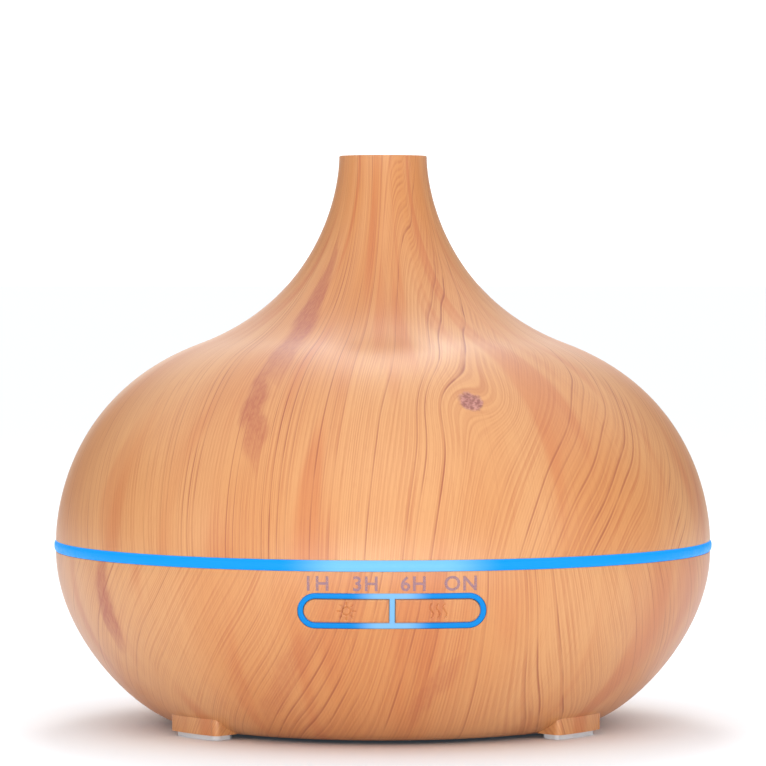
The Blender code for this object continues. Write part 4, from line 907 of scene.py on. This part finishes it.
def make_timer_marks(material):
    """The four timer marks printed over the panel, each wrapped on the housing."""
    for name, text, x in (("mark_1h", "1H", -18.0), ("mark_3h", "3H", -6.4),
                          ("mark_6h", "6H", 5.0), ("mark_on", "ON", 16.3)):
        curve = bpy.data.curves.new(name, "FONT")
        curve.body = text
        curve.size = MARK_SIZE
        curve.align_x = "CENTER"
        curve.space_character = 1.12
        curve.offset = MARK_WEIGHT
        curve.resolution_u = 4
        holder = bpy.data.objects.new(name, curve)
        bpy.context.scene.collection.objects.link(holder)
        graph = bpy.context.evaluated_depsgraph_get()
        flat = bpy.data.meshes.new_from_object(holder.evaluated_get(graph))
        bpy.data.objects.remove(holder)
        bm = bmesh.new()
        bm.from_mesh(flat)
        bmesh.ops.remove_doubles(bm, verts=bm.verts[:], dist=WELD)
        for normal in (Vector((1.0, 0.0, 0.0)), Vector((0.0, 1.0, 0.0))):
            for k in range(-8, 9):  # cut small enough to follow the curve
                bmesh.ops.bisect_plane(bm, geom=bm.verts[:] + bm.edges[:] + bm.faces[:],
                                       plane_co=normal * ((0.5 * k + 0.013) * MM),
                                       plane_no=normal)
        made = bmesh.ops.extrude_face_region(bm, geom=bm.faces[:])
        raised = {e for e in made["geom"] if isinstance(e, bmesh.types.BMVert)}
        for vert in bm.verts:
            px = x * MM + vert.co.x
            pz = MARK_Z + vert.co.y
            lift = -0.035 * MM if vert in raised else 0.02 * MM
            vert.co = (px, front_y(px, pz, lift), pz)
        show(object_from(name, bm), "base", material, "black_plastic")


def make_foot_pads(material):
    for number, azimuth in enumerate(FOOT_AZIMUTHS, 1):
        outline = sector_outline((54.6 * MM, 60.4 * MM), azimuth, 15.6, corner=1.8 * MM)
        pad = prism(f"foot_pad_{number}_soft", outline, 0.0, 1.3 * MM, bevel=0.35 * MM)
        show(pad, "base", material, "pale_rubber", f"foot_pad_{number}")


def make_tank(material):
    """Translucent tank with its standpipe, well and a moulded fill line."""
    r = TANK_RADIUS
    inner_r = r - TANK_WALL
    floor_top = TANK_FLOOR_Z + TANK_WALL
    corner = 8.0 * MM
    outer_turn = bezier([(r, TANK_FLOOR_Z + corner), (r, TANK_FLOOR_Z + 3.6 * MM),
                         (r - 4.4 * MM, TANK_FLOOR_Z), (r - corner, TANK_FLOOR_Z)], 10)
    inner_turn = bezier([(inner_r - corner, floor_top), (inner_r - 4.4 * MM, floor_top),
                         (inner_r, floor_top + 3.6 * MM), (inner_r, floor_top + corner)], 10)
    line = 62.0 * MM
    profile = [(r, TANK_RIM_Z), (r, 44.2 * MM), (77.7 * MM, 44.2 * MM), (77.7 * MM, 42.2 * MM)]
    profile += [(r, 42.2 * MM)] + outer_turn + [(0.0, TANK_FLOOR_Z), (0.0, floor_top)] + inner_turn
    profile += [(inner_r, line - 0.5 * MM), (inner_r - 0.5 * MM, line), (inner_r, line + 0.5 * MM)]
    profile += [(inner_r, TANK_RIM_Z)]
    tank = turned("tank_body", filleted(profile, 0.6 * MM, 4, 40.0), 192)
    well_x, well_y = centre_of("transducer_disc")
    pipe_y = centre_of("air_duct")[1] + 10.0 * MM
    join(tank, rod("well", 18.0 * MM, 20.5 * MM, 26.5 * MM, (well_x, well_y), 72))
    join(tank, rod("pipe", 8.0 * MM, 24.0 * MM, 68.0 * MM, (0.0, pipe_y), 64, bevel=0.4 * MM))
    cut(tank, rod("bore", 6.5 * MM, 22.0 * MM, 70.0 * MM, (0.0, pipe_y), 64))
    funnel = turned("funnel", [(0.0, 20.0 * MM), (9.0 * MM, 20.0 * MM), (9.0 * MM, 25.0 * MM),
                               (13.0 * MM, 29.0 * MM), (0.0, 29.0 * MM)], 64, (well_x, well_y))
    cut(tank, funnel)
    cut(tank, rod("seat", 11.7 * MM, 19.0 * MM, 23.2 * MM, (well_x, well_y), 64))
    for azimuth in FOOT_AZIMUTHS:
        place = polar(BOTTOM_SCREW_CIRCLE, azimuth)
        boss = rod("boss", 3.5 * MM, 4.1 * MM, 26.5 * MM, place, 36)
        cut(boss, rod("pilot", SCREW_HOLE, 0.0, 14.0 * MM, place, 20))
        join(tank, boss)
    resmooth(tank)
    show(tank, "base", material, "tank_plastic", "water_tank")


def centre_of(node):
    low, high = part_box(node)
    return ((low.x + high.x) / 2, (low.y + high.y) / 2)


def make_inner_cover(material):
    """White liner with its drip skirt, dome, screw towers and mist chimney."""
    wall = 1.6 * MM
    skirt = 66.0 * MM
    seat = TANK_RIM_Z + 0.3 * MM
    top = HEIGHT - 1.5 * MM
    chimney = 8.6 * MM
    foot_z = 102.0 * MM
    rise = (foot_z - seat) * 0.55
    dome = bezier([(skirt, seat + wall), (skirt * 0.72, seat + wall + rise * 0.68),
                   (chimney * 2.2, foot_z - rise * 0.5), (chimney, foot_z)], 28)
    inside = inset(dome, wall)
    inside[0] = (skirt - wall, seat)
    inside[-1] = (chimney - 1.4 * MM, foot_z)
    profile = [(skirt - wall, 64.0 * MM), (skirt, 64.0 * MM), (skirt, seat), (71.2 * MM, seat),
               (71.2 * MM, seat + wall)]
    profile += dome + [(chimney, top), (chimney - 1.4 * MM, top)] + inside[::-1]
    liner = turned("inner_cover_liner", filleted(profile, 0.45 * MM, 4, 40.0), 160)
    for azimuth in COVER_SCREW_AZIMUTHS:
        place = polar(COVER_SCREW_CIRCLE, azimuth)
        join(liner, rod("tower", 4.6 * MM, 77.95 * MM, 83.95 * MM, place, 48))
        screw_holes(liner, place, 74.9 * MM, 81.95 * MM, 75.0 * MM, 85.0 * MM)
    resmooth(liner)
    show(liner, "cover", material, "white_plastic", "inner_cover")


def make_bottom_cover(material):
    """Underside plate with the air grille, screw seats and a moulded border."""
    radius = 49.95 * MM
    low, high = 1.3 * MM, 3.7 * MM
    groove = 0.5 * MM
    profile = [(0.0, low), (44.0 * MM, low), (44.3 * MM, low + groove), (45.0 * MM, low + groove),
               (45.3 * MM, low), (radius, low), (radius, high), (0.0, high)]
    plate = turned("bottom_cover_plate", filleted(profile, 0.3 * MM, 3, 60.0), 160)
    fan_x, fan_y = centre_of("fan_frame")
    reach = 17.0 * MM
    for row in range(-3, 4):
        offset = row * 4.4 * MM
        half = math.sqrt(reach ** 2 - offset ** 2)
        slot = [(fan_x + a, fan_y + offset + b) for a, b in strip(2 * half, 2.2 * MM, 10)]
        cut(plate, prism("slot", slot, 0.0, 5.0 * MM))
    for azimuth in FOOT_AZIMUTHS:
        screw_holes(plate, polar(BOTTOM_SCREW_CIRCLE, azimuth), 0.0, 3.1 * MM, 0.0, 5.0 * MM)
    for node in ("fan_screw_1", "fan_screw_2", "board_screw_1", "board_screw_2"):
        join(plate, rod("post", 2.6 * MM, 3.4 * MM, 5.7 * MM, centre_of(node), 32))
    resmooth(plate)
    show(plate, "base", material, "black_plastic", "bottom_cover")


def make_screw(node, body, material):
    """Pan-head screw with a cross recess, head down, in the place of its CAD node."""
    low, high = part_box(node)
    place = centre_of(node)
    head = (high.x - low.x) / 2
    shank = 1.1 * MM
    length = high.z - low.z
    levels = [(0.0, 0.0)]
    for k in range(7):
        a = math.radians(15.0 * k)
        levels.append((head * (0.55 + 0.45 * math.sin(a)),
                       HEAD_HEIGHT * 0.75 * (1 - math.cos(a))))
    levels += [(head, HEAD_HEIGHT), (shank, HEAD_HEIGHT), (shank, length - 1.2 * MM),
               (0.0, length)]
    screw = turned(f"{node}_head", [(r, low.z + h) for r, h in levels], 40, place)
    for size in ((head, 0.5 * MM), (0.5 * MM, head)):
        cut(screw, block("cross", place, (*size, 0.9 * MM), low.z - 0.2 * MM))
    resmooth(screw)
    show(screw, body, material, "screw_steel", node)


def smooth_node(node, material, bevel=0.0):
    """Keep a CAD node's shape and give it a material, welded corners and soft edges."""
    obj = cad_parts[node]
    paint(obj, material)
    for polygon in obj.data.polygons:
        polygon.use_smooth = True
    weld = obj.modifiers.new("weld", "WELD")
    weld.merge_threshold = 0.01 * MM
    if bevel:
        soft = obj.modifiers.new("soft", "BEVEL")
        soft.width = bevel
        soft.segments = 2
        soft.limit_method = "ANGLE"
        soft.angle_limit = math.radians(CREASE)
        soft.use_clamp_overlap = True
    split = obj.modifiers.new("split", "EDGE_SPLIT")
    split.split_angle = math.radians(CREASE)


# ---- stage
def make_stage():
    """Pale floor, white surroundings and soft studio lights."""
    bm = bmesh.new()
    bmesh.ops.create_grid(bm, x_segments=2, y_segments=2, size=FLOOR_SIZE)
    floor = object_from("studio_floor", bm)
    floor.location.z = FLOOR_Z
    g = Graph("studio_floor")
    g.set(Base_Color=(0.925, 0.95, 0.98), Roughness=0.9)
    g.shader.inputs["Specular IOR Level"].default_value = 0.1
    g.shader.inputs["Emission Color"].default_value = (0.6, 0.8, 1.0, 1.0)
    g.shader.inputs["Emission Strength"].default_value = 0.03
    clear = g.node("ShaderNodeBsdfTransparent")  # clear when seen from underneath
    side = g.node("ShaderNodeNewGeometry")
    mixed = g.node("ShaderNodeMixShader")
    links = g.material.node_tree.links
    links.new(side.outputs["Backfacing"], mixed.inputs[0])
    links.new(g.shader.outputs[0], mixed.inputs[1])
    links.new(clear.outputs[0], mixed.inputs[2])
    links.new(mixed.outputs[0], g.material.node_tree.nodes["Material Output"].inputs["Surface"])
    floor.data.materials.append(g.material)

    world = bpy.data.worlds.new("studio_white")
    bpy.context.scene.world = world
    world.use_nodes = True
    tree = world.node_tree
    background = tree.nodes["Background"]
    background.inputs["Color"].default_value = (1.0, 1.0, 1.0, 1.0)
    direction = tree.nodes.new("ShaderNodeTexCoord")
    parts = tree.nodes.new("ShaderNodeSeparateXYZ")
    tree.links.new(direction.outputs["Generated"], parts.inputs[0])

    def fade(value, start, end, low, high):
        made = tree.nodes.new("ShaderNodeMapRange")
        made.interpolation_type = "SMOOTHSTEP"
        for key, item in (("From Min", start), ("From Max", end),
                          ("To Min", low), ("To Max", high)):
            made.inputs[key].default_value = item
        tree.links.new(value, made.inputs["Value"])
        return made.outputs["Result"]

    def combined(operation, one, two=None):
        made = tree.nodes.new("ShaderNodeMath")
        made.operation = operation
        tree.links.new(one, made.inputs[0])
        if two is not None:
            tree.links.new(two, made.inputs[1])
        return made.outputs[0]

    aside = fade(combined("ABSOLUTE", parts.outputs[0]), 0.12, 0.42, 0.0, 1.0)
    ahead = fade(parts.outputs[1], -0.20, -0.60, 0.0, 1.0)
    aside = combined("MAXIMUM", aside, ahead)
    low_down = fade(parts.outputs[2], 0.30, 0.75, 1.0, 0.0)  # darker cards stand round it
    shade = combined("MULTIPLY", aside, low_down)
    tree.links.new(fade(shade, 0.0, 1.0, WHITE, DARK_SIDE), background.inputs["Strength"])

    unlit = bpy.data.collections.new("floor_kept_out_of_the_low_light")
    unlit.objects.link(floor)
    unlit.collection_objects[0].light_linking.link_state = "EXCLUDE"
    for name, place, width, height, power in (
            ("top_strip", (0.02, 0.72, 1.02), 0.24, 0.75, 3.3),
            ("front_softbox", (0.02, -0.85, 0.84), 0.30, 0.46, 0.6),
            ("front_strip", (-0.01, -1.25, 0.36), 0.26, 0.50, 0.7),
            ("left_softbox", (-1.05, -0.62, 0.30), 0.30, 0.40, 1.5),
            ("right_softbox", (1.05, -0.62, 0.30), 0.30, 0.40, 1.5),
            ("low_softbox", (0.0, -0.80, 0.02), 1.10, 0.05, 4.6)):
        light = bpy.data.lights.new(name, "AREA")
        light.shape = "RECTANGLE"
        light.size = width
        light.size_y = height
        light.energy = power
        holder = bpy.data.objects.new(name, light)
        holder.location = place
        aim = Vector((0.0, 0.0, 0.09)) - holder.location
        holder.rotation_euler = aim.to_track_quat("-Z", "Y").to_euler()
        bpy.context.scene.collection.objects.link(holder)
        if name == "low_softbox":
            holder.light_linking.receiver_collection = unlit
    bpy.context.scene.view_settings.view_transform = "Standard"


def make_camera():
    """Product-shot camera, a little below the lip and almost level."""
    data = bpy.data.cameras.new("camera")
    data.sensor_width = 36.0
    data.lens = 197.4
    camera = bpy.data.objects.new("camera", data)
    distance = 12.8 * BODY_RADIUS
    azimuth = math.radians(-1.54)
    camera.location = (math.sin(azimuth) * distance, -math.cos(azimuth) * distance, 0.1158)
    aim = Vector((0.0, 0.0, 0.0869)) - camera.location
    camera.rotation_euler = aim.to_track_quat("-Z", "Y").to_euler()
    bpy.context.scene.collection.objects.link(camera)
    bpy.context.scene.camera = camera


# ---- assembly
def build():
    make_camera()
    make_stage()
    cover_wood = wood("wood_cover", COVER_STYLE)
    base_wood = wood("wood_base", BASE_STYLE)
    # the second, paler colour of each glow is a painted highlight at the front middle
    ring_light = lit_plastic("lit_ring", srgb(0, 142, 240), srgb(138, 200, 240), 0.93,
                             (12.0 * MM, 27.0 * MM))
    bezel_light = lit_plastic("lit_bezel", srgb(4, 116, 200), srgb(150, 192, 226), 0.92,
                              (3.0 * MM, 10.0 * MM))
    white = moulded("white_moulding", (0.84, 0.84, 0.82), 0.38)
    milky = moulded("milky_tank", (0.80, 0.84, 0.86), 0.30, clear=0.6)
    black = moulded("dark_moulding", (0.022, 0.022, 0.024), 0.5, 0.04 * MM, 0.2)
    steel = metal("zinc_plate", (0.62, 0.62, 0.63), 0.32)
    aluminium = metal("machined_aluminium", (0.78, 0.79, 0.80), 0.36)
    board = circuit_board("solder_mask")
    pale = rubber("pale_silicone", (0.60, 0.60, 0.62))
    print_ink = ink("timer_print", srgb(150, 120, 140), 0.6)

    make_top_cover(cover_wood)
    make_inner_cover(white)
    make_base_housing(base_wood)
    make_light_ring(ring_light)
    make_bezel(bezel_light)
    make_key("light_key_cap", -1.0, "light_key", base_wood, light_sign(), "light_button")
    make_key("mist_key_cap", 1.0, "mist_key", base_wood, mist_sign(), "mist_button")
    make_timer_marks(print_ink)
    make_foot_pads(pale)
    make_tank(milky)
    make_bottom_cover(black)
    for number in range(1, 5):
        make_screw(f"bottom_screw_{number}", "base", steel)
    for number in range(1, 4):
        make_screw(f"cover_screw_{number}", "cover", steel)
        smooth_node(f"clamp_screw_{number}", steel)
    for number in (1, 2):
        smooth_node(f"fan_screw_{number}", steel)
        smooth_node(f"board_screw_{number}", steel)
    for node in ("fan_frame", "fan_rotor", "driver_coil", "controller_chip", "light_switch",
                 "mist_switch", "power_lead", "fan_lead", "dc_jack"):
        smooth_node(node, black, 0.08 * MM)
    for node in ("air_duct", "light_plunger", "mist_plunger", "button_lead"):
        smooth_node(node, white)
    for number in range(1, 9):
        smooth_node(f"ring_led_{number}", white, 0.1 * MM)
    for node in ("control_board", "led_board", "button_board"):
        smooth_node(node, board)
    for node in ("heat_sink", "transducer_clamp", "transducer_disc"):
        smooth_node(node, aluminium, 0.1 * MM)
    smooth_node("transducer_seal", pale)


build()
